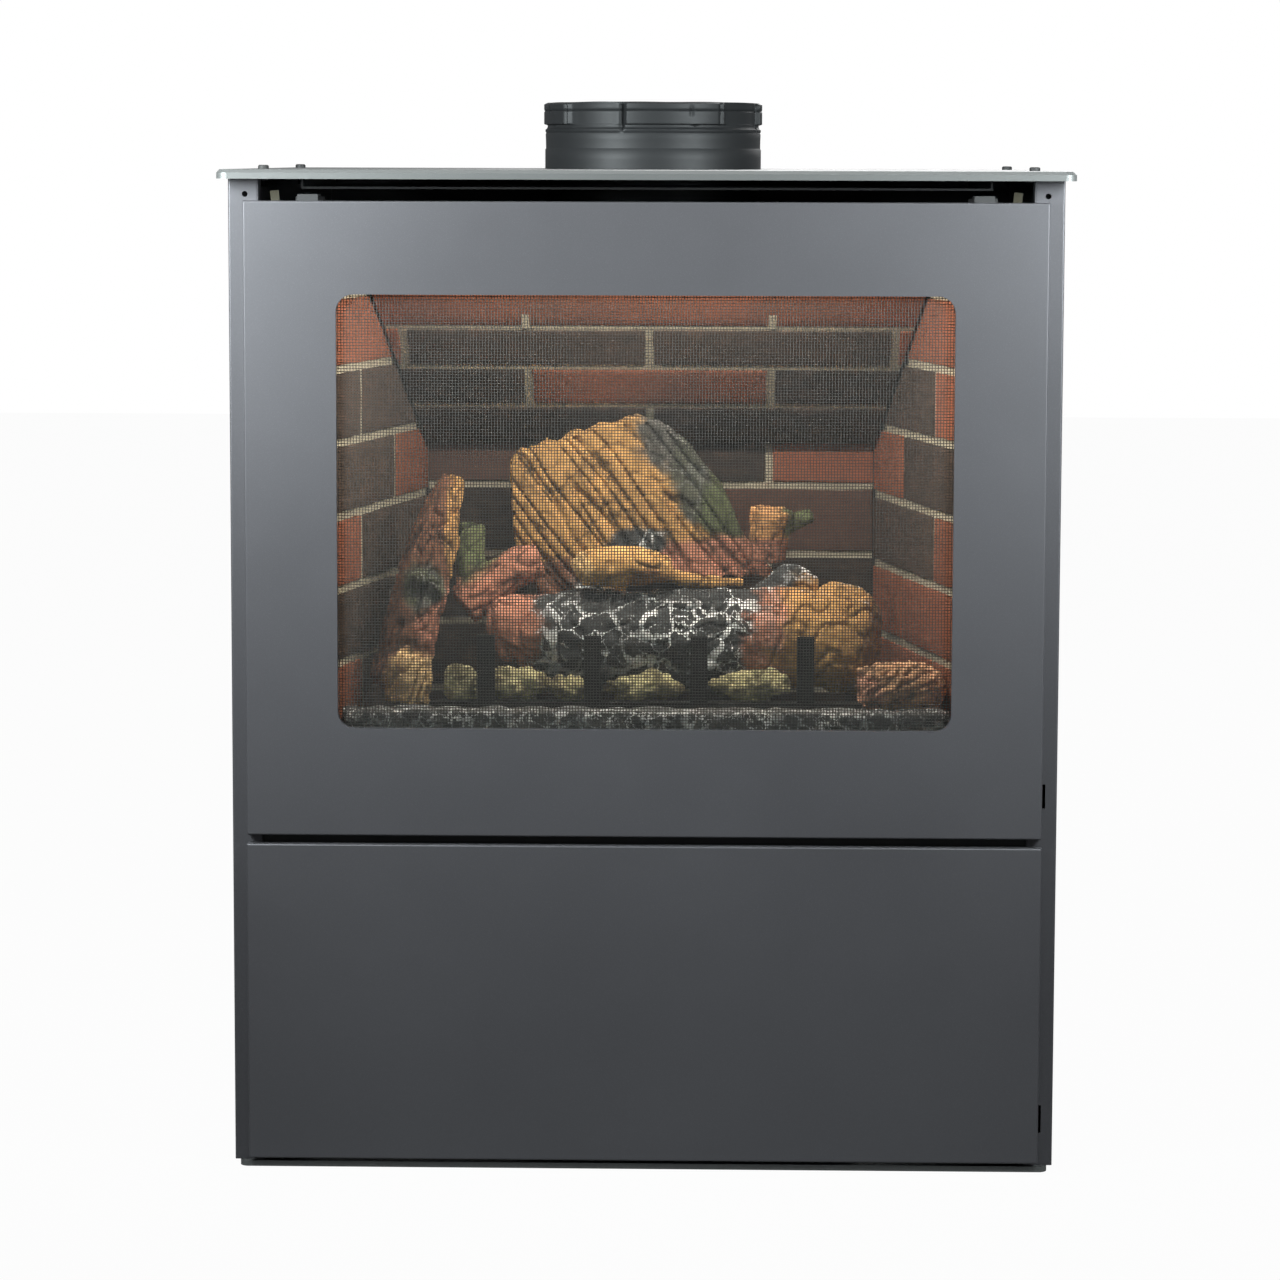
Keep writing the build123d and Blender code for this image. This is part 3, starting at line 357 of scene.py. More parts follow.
@dataclass(frozen=True)
class StoveGlass(Finish):
    """Clear ceramic glass: light goes through, and the studio shows faintly in it."""

    tint: Triple = (246, 247, 244)
    mirror: float = 0.05

    def write(self, sheet: Sheet) -> bpy.types.Material:
        """A clear share and a glossy share, mixed by the angle of view."""
        clear = sheet.node("ShaderNodeBsdfTransparent", inputs={"Color": paint(*self.tint)})
        gloss = sheet.node("ShaderNodeBsdfGlossy", inputs={"Color": (1, 1, 1, 1), "Roughness": 0.03})
        edge = sheet.node("ShaderNodeFresnel", inputs={"IOR": 1.45})
        smear = sheet.noise(9.0, 4.0).rise(0.4, 0.8) * 0.01
        return sheet.end(sheet.node("ShaderNodeMixShader", inputs={0: edge * 0.8 + smear, 1: clear, 2: gloss}))


@dataclass(frozen=True)
class GlassRope(Finish):
    """The knitted glass-fibre rope that seals the glass."""

    colour: Triple = (58, 57, 54)

    def write(self, sheet: Sheet) -> bpy.types.Material:
        """Fine crossing ribs."""
        knit = sheet.node("ShaderNodeTexWave", {"bands_direction": "DIAGONAL"},
                          {"Vector": sheet.place(), "Scale": 260.0, "Distortion": 1.2})
        colour = sheet.mix(knit, paint(30, 30, 29), paint(*self.colour))
        return sheet.surface(Base_Color=colour, Roughness=0.9, Normal=sheet.bump(knit, 0.8, 0.0006))


@dataclass(frozen=True)
class WireFinish(Finish):
    """Dark grey woven wire of the safety screen."""

    colour: Triple = (56, 54, 51)

    def write(self, sheet: Sheet) -> bpy.types.Material:
        """Slightly uneven blackened steel."""
        uneven = sheet.noise(300.0, 3.0)
        base = paint(*self.colour)
        dark = tuple(channel * 0.6 for channel in base[:3]) + (1.0,)
        return sheet.surface(Base_Color=sheet.mix(uneven, dark, base), Metallic=0.35, Roughness=uneven * 0.2 + 0.4,
                             Normal=sheet.bump(uneven, 0.2, 0.00005))


@dataclass(frozen=True)
class FiredBrick(Finish):
    """Cast ceramic brick: each brick's own colour, sooty patches, pores and scuffed edges."""

    tint: str = "tint"

    def write(self, sheet: Sheet) -> bpy.types.Material:
        """Colour from the piece's own attribute, broken up by noise of three sizes."""
        own = sheet.node("ShaderNodeAttribute", {"attribute_name": self.tint}, out="Color")
        soot = sheet.noise(16.0, 5.0, 0.6).rise(0.42, 0.8)
        pore = sheet.noise(420.0, 4.0, 0.75)
        streak = sheet.noise(60.0, 4.0, 0.6, at=sheet.place((1.0, 1.0, 2.5)))
        shade = sheet.mix(soot * 0.45, own, paint(52, 46, 43))
        shade = sheet.mix(streak.rise(0.35, 0.9) * 0.35, shade, paint(150, 112, 92))
        shade = sheet.mix(pore.rise(0.62, 0.4) * 0.3, shade, paint(46, 38, 34))
        return sheet.surface(Base_Color=shade, Roughness=0.9,
                             Normal=sheet.bump(pore * 0.6 + streak * 0.4, 0.7, 0.0009))


@dataclass(frozen=True)
class CeramicLog(Finish):
    """Hand-coloured ceramic log, with white ash cracks where the colour's alpha asks for them."""

    tint: str = "tint"
    ash_scale: float = 30.0

    def write(self, sheet: Sheet) -> bpy.types.Material:
        """Cracks are thin bands of warped noise, broken up by a coarser noise."""
        settings = {"attribute_name": self.tint}
        own = sheet.node("ShaderNodeAttribute", settings, out="Color")
        char = sheet.node("ShaderNodeAttribute", settings, out="Alpha")
        fibre = sheet.noise(230.0, 5.0, 0.7)
        fleck = sheet.noise(700.0, 3.0, 0.8)
        drift = sheet.node("ShaderNodeTexNoise", {}, {"Vector": sheet.place(), "Scale": self.ash_scale * 1.6,
                                                      "Detail": 3.0, "Roughness": 0.6}, out="Color")
        shift = sheet.node("ShaderNodeVectorMath", {"operation": "MULTIPLY_ADD"},
                           {0: drift, 1: (0.022, 0.022, 0.022), 2: sheet.place()})
        edge = sheet.cells(self.ash_scale * 1.5, "DISTANCE_TO_EDGE", at=shift)
        fine = sheet.cells(self.ash_scale * 3.3, "DISTANCE_TO_EDGE", at=shift)
        where = sheet.noise(self.ash_scale * 0.9, 2.0).rise(0.36, 0.6)
        broad = sheet.noise(self.ash_scale * 2.2, 2.0).rise(0.4, 0.7) * 0.09 + 0.004
        line = (1.0 - (edge - broad).rise(0.0, 0.035)) * (where * 0.7 + 0.3)
        thin = (1.0 - (fine - 0.02).rise(0.0, 0.05)) * where * broad.rise(0.012, 0.05)
        ash = (line + thin * 0.8).rise(0.05, 0.85) * char
        shade = sheet.mix(fibre.rise(0.62, 0.3) * 0.55, own, sheet.mix(0.72, own, paint(20, 15, 12)))
        shade = sheet.mix(fleck.rise(0.62, 0.85) * 0.5, shade, sheet.mix(0.5, shade, paint(236, 214, 170)))
        shade = sheet.mix(ash, shade, paint(238, 241, 244))
        return sheet.surface(Base_Color=shade, Roughness=0.92,
                             Normal=sheet.bump(fibre * 0.7 + fleck * 0.3, 0.8, 0.0012))


@dataclass(frozen=True)
class RockWool(Finish):
    """Glowing-ember wool: matted yellow-green and brown fibre."""

    pale: Triple = (232, 222, 170)
    deep: Triple = (66, 56, 34)

    def write(self, sheet: Sheet) -> bpy.types.Material:
        """Strands from stretched noise over soft clouds."""
        cloud = sheet.noise(70.0, 4.0, 0.6)
        strand = sheet.noise(520.0, 4.0, 0.75, at=sheet.place((0.35, 1.0, 1.0), (0.3, 0.2, 0.5)), bend=1.5)
        colour = sheet.mix(cloud.rise(0.38, 0.62) * 0.7 + strand * 0.3, paint(*self.deep), paint(*self.pale))
        return sheet.surface(Base_Color=colour, Roughness=0.95, Normal=sheet.bump(strand, 1.0, 0.0016))


@dataclass(frozen=True)
class Mortar(Finish):
    """Pale sandy mortar behind the bricks."""

    colour: Triple = (198, 190, 170)

    def write(self, sheet: Sheet) -> bpy.types.Material:
        """Sand grains and faint soot."""
        sand = sheet.noise(650.0, 4.0, 0.75)
        soot = sheet.noise(18.0, 4.0).rise(0.5, 0.85)
        colour = sheet.mix(sand.rise(0.6, 0.35) * 0.4 + soot * 0.3, paint(*self.colour), paint(84, 76, 64))
        return sheet.surface(Base_Color=colour, Roughness=0.95, Normal=sheet.bump(sand, 0.8, 0.0006))


PAINTS: dict[str, Finish] = {
    "casing_paint": MetallicPaint((80, 79, 82), metallic=0.6, roughness=0.46),
    # Painted light: a lighter, glossier copy of the casing paint for the top plate, standing in for the brighter light
    # and reflection on its top surface.
    "top_paint": MetallicPaint((94, 95, 94), metallic=0.5, roughness=0.42),
    "black_steel": SootBlack(),
    "collar_paint": MetallicPaint((26, 27, 28), metallic=0.1, roughness=0.5, sparkle=0.05, shine=0.22),
    "flue_steel": BareMetal((176, 178, 180), (132, 134, 137), Grain.BRUSHED),
    "galvanised": BareMetal((150, 153, 156), (188, 190, 192), Grain.SPANGLED, 0.42),
    # Painted shade: the latch tabs get a dark grey-brown far below yellow zinc, so that they read as dark as the shaded
    # gap under the top plate.
    "zinc_yellow": BareMetal((62, 58, 46), (52, 52, 48), Grain.CLOUDED, 0.5),
    "brick": FiredBrick(),
    "glass": StoveGlass(),
    "gasket": GlassRope(),
    "screen_wire": WireFinish(),
    "log_ceramic": CeramicLog(),
    "charcoal": CeramicLog(ash_scale=56.0),
    "ember": RockWool(),
    "burner_steel": BareMetal((120, 118, 114), (92, 88, 84), Grain.CLOUDED, 0.5),
    "valve_metal": BareMetal((168, 169, 168), (128, 129, 129), Grain.CAST, 0.48),
    "tube_metal": BareMetal((196, 198, 200), (168, 170, 172), Grain.BRUSHED, 0.34),
    "brass_fitting": BareMetal((206, 172, 104), (178, 140, 78), Grain.CLOUDED, 0.3),
    "black_plastic": MouldedPlastic((22, 22, 23)),
    "red_plastic": MouldedPlastic((150, 26, 20)),
    "magnet": MouldedPlastic((46, 45, 44), 0.62),
    "pin_steel": BareMetal((186, 188, 190), (150, 152, 154), Grain.BRUSHED, 0.28),
}


class Bench:
    """Modelling steps that several pieces share."""

    materials: dict[str, bpy.types.Material] = {}

    @staticmethod
    def clear() -> None:
        """Leaves edit mode and deselects everything."""
        if bpy.context.object and bpy.context.object.mode != "OBJECT":
            bpy.ops.object.mode_set(mode="OBJECT")
        bpy.ops.object.select_all(action="DESELECT")

    @staticmethod
    def block(name: str, low: Vector, high: Vector) -> bpy.types.Object:
        """A box between two corners, with its place in its mesh."""
        Bench.clear()
        bpy.ops.mesh.primitive_cube_add(size=1.0, location=(low + high) / 2.0)
        piece = bpy.context.object
        piece.name = name
        piece.scale = high - low
        Bench.settle(piece)
        return piece

    @staticmethod
    def settle(piece: bpy.types.Object) -> None:
        """Moves the object's place, turn and size into its mesh."""
        Bench.pick(piece)
        bpy.ops.object.transform_apply(location=True, rotation=True, scale=True)

    @staticmethod
    def pick(*pieces: bpy.types.Object) -> None:
        """Selects these objects alone, the first as the active one."""
        Bench.clear()
        for piece in pieces:
            piece.select_set(True)
        bpy.context.view_layer.objects.active = pieces[0]

    @staticmethod
    def apply(piece: bpy.types.Object, kind: str, **settings: object) -> None:
        """Adds one modifier and applies it."""
        Bench.pick(piece)
        modifier = piece.modifiers.new(kind.title(), kind)
        for key, value in settings.items():
            setattr(modifier, key, value)
        bpy.ops.object.modifier_apply(modifier=modifier.name)

    @staticmethod
    def join(name: str, pieces: list[bpy.types.Object]) -> bpy.types.Object:
        """Joins pieces into the first."""
        Bench.pick(*pieces)
        if len(pieces) > 1:
            bpy.ops.object.join()
        pieces[0].name = name
        return pieces[0]

    @staticmethod
    def outward(piece: bpy.types.Object) -> None:
        """Merges doubles and turns the faces outwards."""
        Bench.pick(piece)
        bpy.ops.object.mode_set(mode="EDIT")
        bpy.ops.mesh.select_all(action="SELECT")
        bpy.ops.mesh.remove_doubles(threshold=0.00001)
        bpy.ops.mesh.normals_make_consistent(inside=False)
        bpy.ops.object.mode_set(mode="OBJECT")

    @staticmethod
    def cut(piece: bpy.types.Object, point: Vector, normal: Vector) -> None:
        """Cuts away what lies on the normal's side of a plane, and closes the cut."""
        Bench.pick(piece)
        bpy.ops.object.mode_set(mode="EDIT")
        bpy.ops.mesh.select_all(action="SELECT")
        bpy.ops.mesh.bisect(plane_co=point, plane_no=normal, clear_outer=True, use_fill=True)
        bpy.ops.object.mode_set(mode="OBJECT")

    @staticmethod
    def smooth(piece: bpy.types.Object, angle: float = 40.0) -> None:
        """Smooth shading up to an angle in degrees."""
        Bench.pick(piece)
        bpy.ops.object.shade_smooth_by_angle(angle=math.radians(angle))

    @staticmethod
    def finish(piece: bpy.types.Object, slot: str, body: str, *nodes: str) -> bpy.types.Object:
        """Dresses a finished piece, puts it on its body and lets it stand for CAD nodes.

        Args:
            piece: the finished object.
            slot: its material slot in the record.
            body: the body that it moves with.
            nodes: the CAD nodes that it replaces.

        Returns:
            The same object.
        """
        piece.data.materials.clear()
        piece.data.materials.append(Bench.materials[slot])
        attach(piece, body)
        if nodes:
            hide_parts(*nodes)
        LOG.info("%s: %d faces on %s", piece.name, len(piece.data.polygons), body)
        return piece

    @staticmethod
    def reshape(piece: bpy.types.Object, move: Callable[[Vector, Vector], Vector]) -> None:
        """Moves every vertex by a rule.

        Args:
            piece: the object.
            move: takes a vertex's place and normal and gives its new place.
        """
        normals = [vertex.normal.copy() for vertex in piece.data.vertices]
        for vertex, normal in zip(piece.data.vertices, normals):
            vertex.co = move(vertex.co.copy(), normal)
        piece.data.update()

    @staticmethod
    def colour(piece: bpy.types.Object, rule: Callable[[Vector, Vector], tuple]) -> None:
        """Writes the tint attribute, vertex by vertex.

        Args:
            piece: the object.
            rule: takes a vertex's place and normal and gives linear colour and ash share.
        """
        layer = piece.data.color_attributes.new("tint", "FLOAT_COLOR", "POINT")
        flat = np.empty(len(piece.data.vertices) * 4, np.float32)
        for index, vertex in enumerate(piece.data.vertices):
            flat[index * 4: index * 4 + 4] = rule(vertex.co, vertex.normal)
        layer.data.foreach_set("color", flat)


def soft(value: float, low: float, high: float) -> float:
    """0 under low, 1 over high and smooth between them."""
    share = min(1.0, max(0.0, (value - low) / (high - low)))
    return share * share * (3.0 - 2.0 * share)


@dataclass
class WovenScreen:
    """The woven wire safety screen behind the window.

    Attributes:
        half_width, low, high: the woven field, in millimetres.
        pitch_x, pitch_z: wire spacing across and up.
        wire: wire diameter.
        front: the front of the upright wires.
    """

    half_width: float = 221.0
    low: float = 304.0
    high: float = 623.0
    pitch_x: float = 2.08
    pitch_z: float = 2.0
    wire: float = 0.62
    front: float = -216.2

    def strand(self, name: str, start: Vector, end: Vector, step: Vector, count: int) -> bpy.types.Object:
        """One straight wire of six sides, repeated side by side.

        Args:
            name: the finished object's name.
            start, end: the first wire's ends, in millimetres.
            step: from one wire to the next.
            count: how many wires.

        Returns:
            All the wires of one direction as one object.
        """
        Bench.clear()
        run = end - start
        turn = Vector((0.0, 0.0, 1.0)).rotation_difference(run).to_euler()
        bpy.ops.mesh.primitive_cylinder_add(vertices=6, radius=self.wire * MM / 2.0, depth=run.length * MM,
                                            location=(start + end) * MM / 2.0, rotation=turn)
        piece = bpy.context.object
        piece.name = name
        Bench.settle(piece)
        Bench.smooth(piece, 70.0)
        Bench.apply(piece, "ARRAY", count=count, use_relative_offset=False, use_constant_offset=True,
                    constant_offset_displace=step * MM)
        return piece

    def build(self) -> None:
        """Makes both directions, one just behind the other."""
        upright_y = self.front + self.wire / 2.0
        cross_y = upright_y + 0.2
        across = int(2.0 * self.half_width / self.pitch_x)
        upwards = int((self.high - self.low) / self.pitch_z)
        left = -across * self.pitch_x / 2.0
        uprights = self.strand("screen_upright_wires", Vector((left, upright_y, self.low)),
                               Vector((left, upright_y, self.high)), Vector((self.pitch_x, 0, 0)), across + 1)
        level = self.low + 1.0
        crossing = self.strand("screen_cross_wires", Vector((-self.half_width, cross_y, level)),
                               Vector((self.half_width, cross_y, level)), Vector((0, 0, self.pitch_z)), upwards)
        Bench.finish(uprights, "screen_wire", "front_surround", "mesh_screen")
        Bench.finish(crossing, "screen_wire", "front_surround", "mesh_screen")


@dataclass
class VentCollar:
    """The outer vent collar with its pressed twist-lock ring.

    Attributes:
        centre_y: the collar's axis, in millimetres.
        radius: outer radius of the plain sleeve.
        wall: sheet thickness.
        top: height of the rim.
    """

    centre_y: float = 120.0
    radius: float = 84.15
    wall: float = 1.2
    top: float = 751.0

    def relief(self, angle: float, height: float) -> float:
        """How far the sheet is pressed out, in millimetres.

        Args:
            angle: round the collar, in degrees from the front, positive to the right.
            height: millimetres above the floor.

        Returns:
            The distance outwards.
        """
        ring = soft(height, 733.5, 734.4) * (1.0 - soft(height, 749.6, 750.8))
        out = 0.0
        for centre in (-90.0, 0.0, 90.0, 180.0):
            turn = (angle - centre - 11.8 + 180.0) % 360.0 - 180.0
            raised = soft(turn, -26.0, -24.6) * (1.0 - soft(turn, 25.0, 27.5))
            out += raised * ring * 2.3
            edge = math.exp(-(((turn + 27.4) / 0.75) ** 2))
            out -= edge * 2.4 * soft(height, 728.0, 731.0) * (1.0 - soft(height, 748.5, 750.0))
            hollow = soft(turn, -60.0, -54.0) * (1.0 - soft(turn, -34.0, -28.5))
            out -= hollow * ring * 0.6
            rib = math.exp(-(((turn + 61.5) / 1.3) ** 2))
            out += rib * ring * 2.0
            tick = math.exp(-(((turn - 9.2) / 0.5) ** 2)) * soft(height, 739.6, 740.6)
            out -= tick * (1.0 - soft(height, 747.6, 748.6)) * 1.8
            for bump in (10.6, 12.4):
                spot = ((turn - bump) / 0.7) ** 2 + ((height - 733.6) / 0.8) ** 2
                out += math.exp(-spot) * 1.1
        return out

    def profile(self) -> list[tuple[float, float]]:
        """Radius and height of the outside, from the hidden foot to the rolled rim."""
        seat, neck, ring = self.radius, self.radius - 0.95, self.radius - 1.45
        line = [(96.0, 673.6), (96.0, 675.0), (neck, 675.0), (neck, 699.6), (seat, 700.0), (seat, 707.0)]
        line += [(seat, 714.8), (seat - 0.5, 715.3), (seat - 0.6, 716.2), (seat - 0.5, 722.0), (seat - 0.3, 726.6)]
        line += [(seat - 0.8, 727.6), (seat - 0.2, 728.6), (seat - 0.1, 730.0), (seat - 1.2, 730.9)]
        line += [(ring - 0.4, 732.0), (ring - 0.4, 733.0), (ring - 0.3, 733.5), (ring - 0.1, 733.9), (ring, 734.3)]
        line += [(ring, 735.0 + step) for step in range(0, 9)]
        line += [(ring - 0.1, 743.8), (ring - 0.7, 744.4), (ring - 0.1, 745.0), (ring, 746.5), (ring, 748.4)]
        line += [(ring, 749.4), (ring - 0.2, 750.4), (ring - 0.6, self.top - 0.15)]
        return line

    def build(self) -> None:
        """Spins the profile, presses the twist lock, and gives the sheet its wall."""
        Bench.clear()
        bpy.ops.mesh.primitive_circle_add(vertices=3, radius=0.01)
        piece = bpy.context.object
        piece.name = "vent_collar_sleeve"
        outline = self.profile()
        piece.data.clear_geometry()
        points = [(radius * MM, self.centre_y * MM, height * MM) for radius, height in outline]
        piece.data.from_pydata(points, [(index, index + 1) for index in range(len(points) - 1)], [])
        Bench.pick(piece)
        bpy.ops.object.mode_set(mode="EDIT")
        bpy.ops.mesh.select_all(action="SELECT")
        bpy.ops.mesh.spin(steps=420, angle=math.tau, center=(0.0, self.centre_y * MM, 0.0), axis=(0.0, 0.0, 1.0))
        bpy.ops.object.mode_set(mode="OBJECT")
        Bench.outward(piece)

        def press(place: Vector, _normal: Vector) -> Vector:
            """Moves a point of the sleeve by the twist lock's relief and a slight wobble of the rim."""
            away = Vector((place.x, place.y - self.centre_y * MM, 0.0))
            angle = math.degrees(math.atan2(away.x, -away.y))
            wobble = noise.noise(Vector((away.x * 22.0, away.y * 22.0, 3.0))) * 0.25
            wobble *= soft(place.z / MM, 716.0, 748.0)
            step = (self.relief(angle, place.z / MM) + wobble) * MM
            lifted = place + away.normalized() * step
            lifted.z += noise.noise(Vector((angle * 0.05, 1.0, 7.0))) * 0.35 * MM * soft(place.z / MM, 741.0, 750.0)
            lifted.z = min(lifted.z, self.top * MM)
            return lifted

        Bench.reshape(piece, press)
        Bench.apply(piece, "SOLIDIFY", thickness=self.wall * MM, offset=-1.0, use_even_offset=False)
        Bench.smooth(piece, 50.0)
        Bench.finish(piece, "collar_paint", "stove", "outer_air_collar")


@dataclass
class BrickWall:
    """One cast panel: separate bricks standing proud of recessed mortar.

    Attributes:
        name: the panel's name.
        origin: the middle of its foot, on its face, in millimetres.
        across, up: the face's own directions.
        low, high: its extent up the face.
        left, right: its half widths at the foot, and how far they grow per millimetre upwards.
        lines: heights of the mortar lines.
        joints: for each course, where its upright joints are.
        tones: for each course, the names of its bricks' colours; the near-black and dark red-brown ones on the lower
            rear wall are painted shadow, with some soot.
        nodes: the CAD nodes that it replaces.
        splay: how far each side leans out per millimetre upwards.
        thickness, mortar, recess: depth of the panel, width of the joints, and how far those lie back.
        stubs: places of short joints that stop part-way up the last course.
        stub_height: how far those reach.
    """

    name: str
    origin: Vector
    across: Vector
    up: Vector
    low: float
    high: float
    left: float
    right: float
    lines: list[float]
    joints: list[list[float]]
    tones: list[str]
    nodes: tuple[str, ...]
    splay: float = 0.0
    thickness: float = 11.0
    mortar: float = 6.0
    recess: float = 1.7
    stubs: tuple[float, ...] = ()
    stub_height: float = 15.0

    # k is near-black and b is dark red-brown: on the lower rear wall they are painted shadow behind the logs and under
    # the leaning panel, with some soot.
    TONES = {
        "r": (170, 98, 68), "d": (76, 62, 54), "k": (44, 37, 34), "b": (104, 70, 58),
    }

    @property
    def out(self) -> Vector:
        """The direction that the face looks in."""
        return self.across.cross(self.up).normalized()

    def placed(self) -> Matrix:
        """From the panel's own metres to the stove's: x across, y behind the face, z up."""
        columns = (self.across.normalized(), -self.out, self.up.normalized())
        turn = Matrix([[column[row] for column in columns] for row in range(3)]).to_4x4()
        return Matrix.Translation(self.origin * MM) @ turn

    def brick(self, number: int, left: float, right: float, low: float, high: float, tone: str) -> bpy.types.Object:
        """One brick with softened, slightly chipped edges and the colour of its tone, which on the lower rear wall is
        painted shadow.
        """
        chance = random.Random(f"{self.name} {number}")
        block = Bench.block(f"{self.name}_{number}", Vector((left, 0.0, low)) * MM,
                            Vector((right, self.thickness - 3.0, high)) * MM)
        Bench.pick(block)
        bpy.ops.object.mode_set(mode="EDIT")
        bpy.ops.mesh.select_all(action="SELECT")
        bpy.ops.mesh.subdivide(number_cuts=5)
        bpy.ops.object.mode_set(mode="OBJECT")
        Bench.apply(block, "BEVEL", width=1.1 * MM, segments=2, limit_method="ANGLE")
        seed = Vector((chance.uniform(-9, 9), chance.uniform(-9, 9), chance.uniform(-9, 9)))

        def chip(place: Vector, _normal: Vector) -> Vector:
            """Wavers the edges and lets the face swell a little."""
            wave = noise.noise_vector(place * 60.0 + seed) * 0.75 * MM
            swell = noise.noise(place * 25.0 + seed) * 0.35 * MM
            return place + Vector((wave.x, min(0.0, swell) - 0.0, wave.z))

        Bench.reshape(block, chip)
        base = paint(*self.TONES[tone])
        share = chance.uniform(0.85, 1.15)
        own = tuple(channel * share for channel in base[:3]) + (0.0,)
        Bench.colour(block, lambda _place, _normal: own)
        return block

    def build(self) -> None:
        """Lays the courses, cuts them to the panel's outline, and sets the panel in place."""
        gap = self.mortar / 2.0
        reach = max(self.left, self.right) + abs(self.splay) * (self.high - self.low) + 1.0
        edges = [self.low - gap, *self.lines, self.high + gap]
        bricks = []
        for course, (low, high) in enumerate(zip(edges, edges[1:])):
            stops = [-reach - gap, *self.joints[course % len(self.joints)], reach + gap]
            tones = self.tones[course % len(self.tones)]
            for slot, (start, end) in enumerate(zip(stops, stops[1:])):
                if end - start > 2.0 * gap and high - low > 2.0 * gap:
                    bricks.append(self.brick(len(bricks), start + gap, end - gap, low + gap, high - gap,
                                             tones[slot % len(tones)]))
        wall = Bench.join(self.name, bricks)
        slab = Bench.block(f"{self.name}_mortar", Vector((-reach, self.recess, self.low)) * MM,
                           Vector((reach, self.thickness - 0.4, self.high)) * MM)
        stubs = [Bench.block(f"{self.name}_stub", Vector((x - gap, -0.3, self.lines[-1])) * MM,
                             Vector((x + gap, 2.0, self.lines[-1] + self.stub_height)) * MM) for x in self.stubs]
        if stubs:
            slab = Bench.join(slab.name, [slab, *stubs])
        for part in (wall, slab):
            for side, half in ((-1.0, self.left), (1.0, self.right)):
                normal = Vector((side, 0.0, -self.splay)).normalized()
                Bench.cut(part, Vector((side * half, 0.0, self.low)) * MM, normal)
            Bench.cut(part, Vector((0.0, 0.0, self.low)) * MM, Vector((0.0, 0.0, -1.0)))
            Bench.cut(part, Vector((0.0, 0.0, self.high)) * MM, Vector((0.0, 0.0, 1.0)))
            part.matrix_world = self.placed()
            Bench.settle(part)
            Bench.smooth(part, 35.0)
        Bench.finish(wall, "brick", "stove", *self.nodes)
        Bench.finish(slab, "brick", "stove", *self.nodes)
        slab.data.materials[0] = Bench.materials["mortar"]


@dataclass(frozen=True)
class Zone:
    """A patch of colour on a log.

    Attributes:
        centre: its middle, in millimetres.
        reach: its half sizes along x, y and z.
        colour: its colour.
        ash: how much white ash it carries.
    """

    centre: Triple
    reach: Triple
    colour: Triple
    ash: float = 0.0

    def share(self, place: Vector) -> float:
        """How strongly the zone covers a point, with a ragged edge."""
        away = Vector([(place[axis] / MM - self.centre[axis]) / self.reach[axis] for axis in range(3)])
        ragged = noise.noise(place * 55.0) * 0.28 + noise.noise(place * 160.0) * 0.14
        return 1.0 - soft(away.length + ragged, 0.75, 1.1)


@dataclass(frozen=True)
class Grooves:
    """Bark or flow lines along one direction.

    Attributes:
        along: the lines' direction.
        pitch: distance between lines, in millimetres.
        depth: how deep they are, in millimetres.
        run: how long one line stays, in millimetres.
    """

    along: Triple = (0.0, 0.0, 1.0)
    pitch: float = 9.0
    depth: float = 2.0
    run: float = 70.0

    def deep(self, place: Vector) -> float:
        """0 on a ridge and 1 in a groove."""
        line = Vector(self.along).normalized()
        far = place / MM
        lengthways = far.dot(line)
        flat = far - line * lengthways
        point = flat / self.pitch + line * (lengthways / self.run)
        bent = point + noise.noise_vector(far / (self.run * 0.5)) * 0.55
        return 1.0 - min(1.0, abs(noise.noise(bent)) * 3.2)


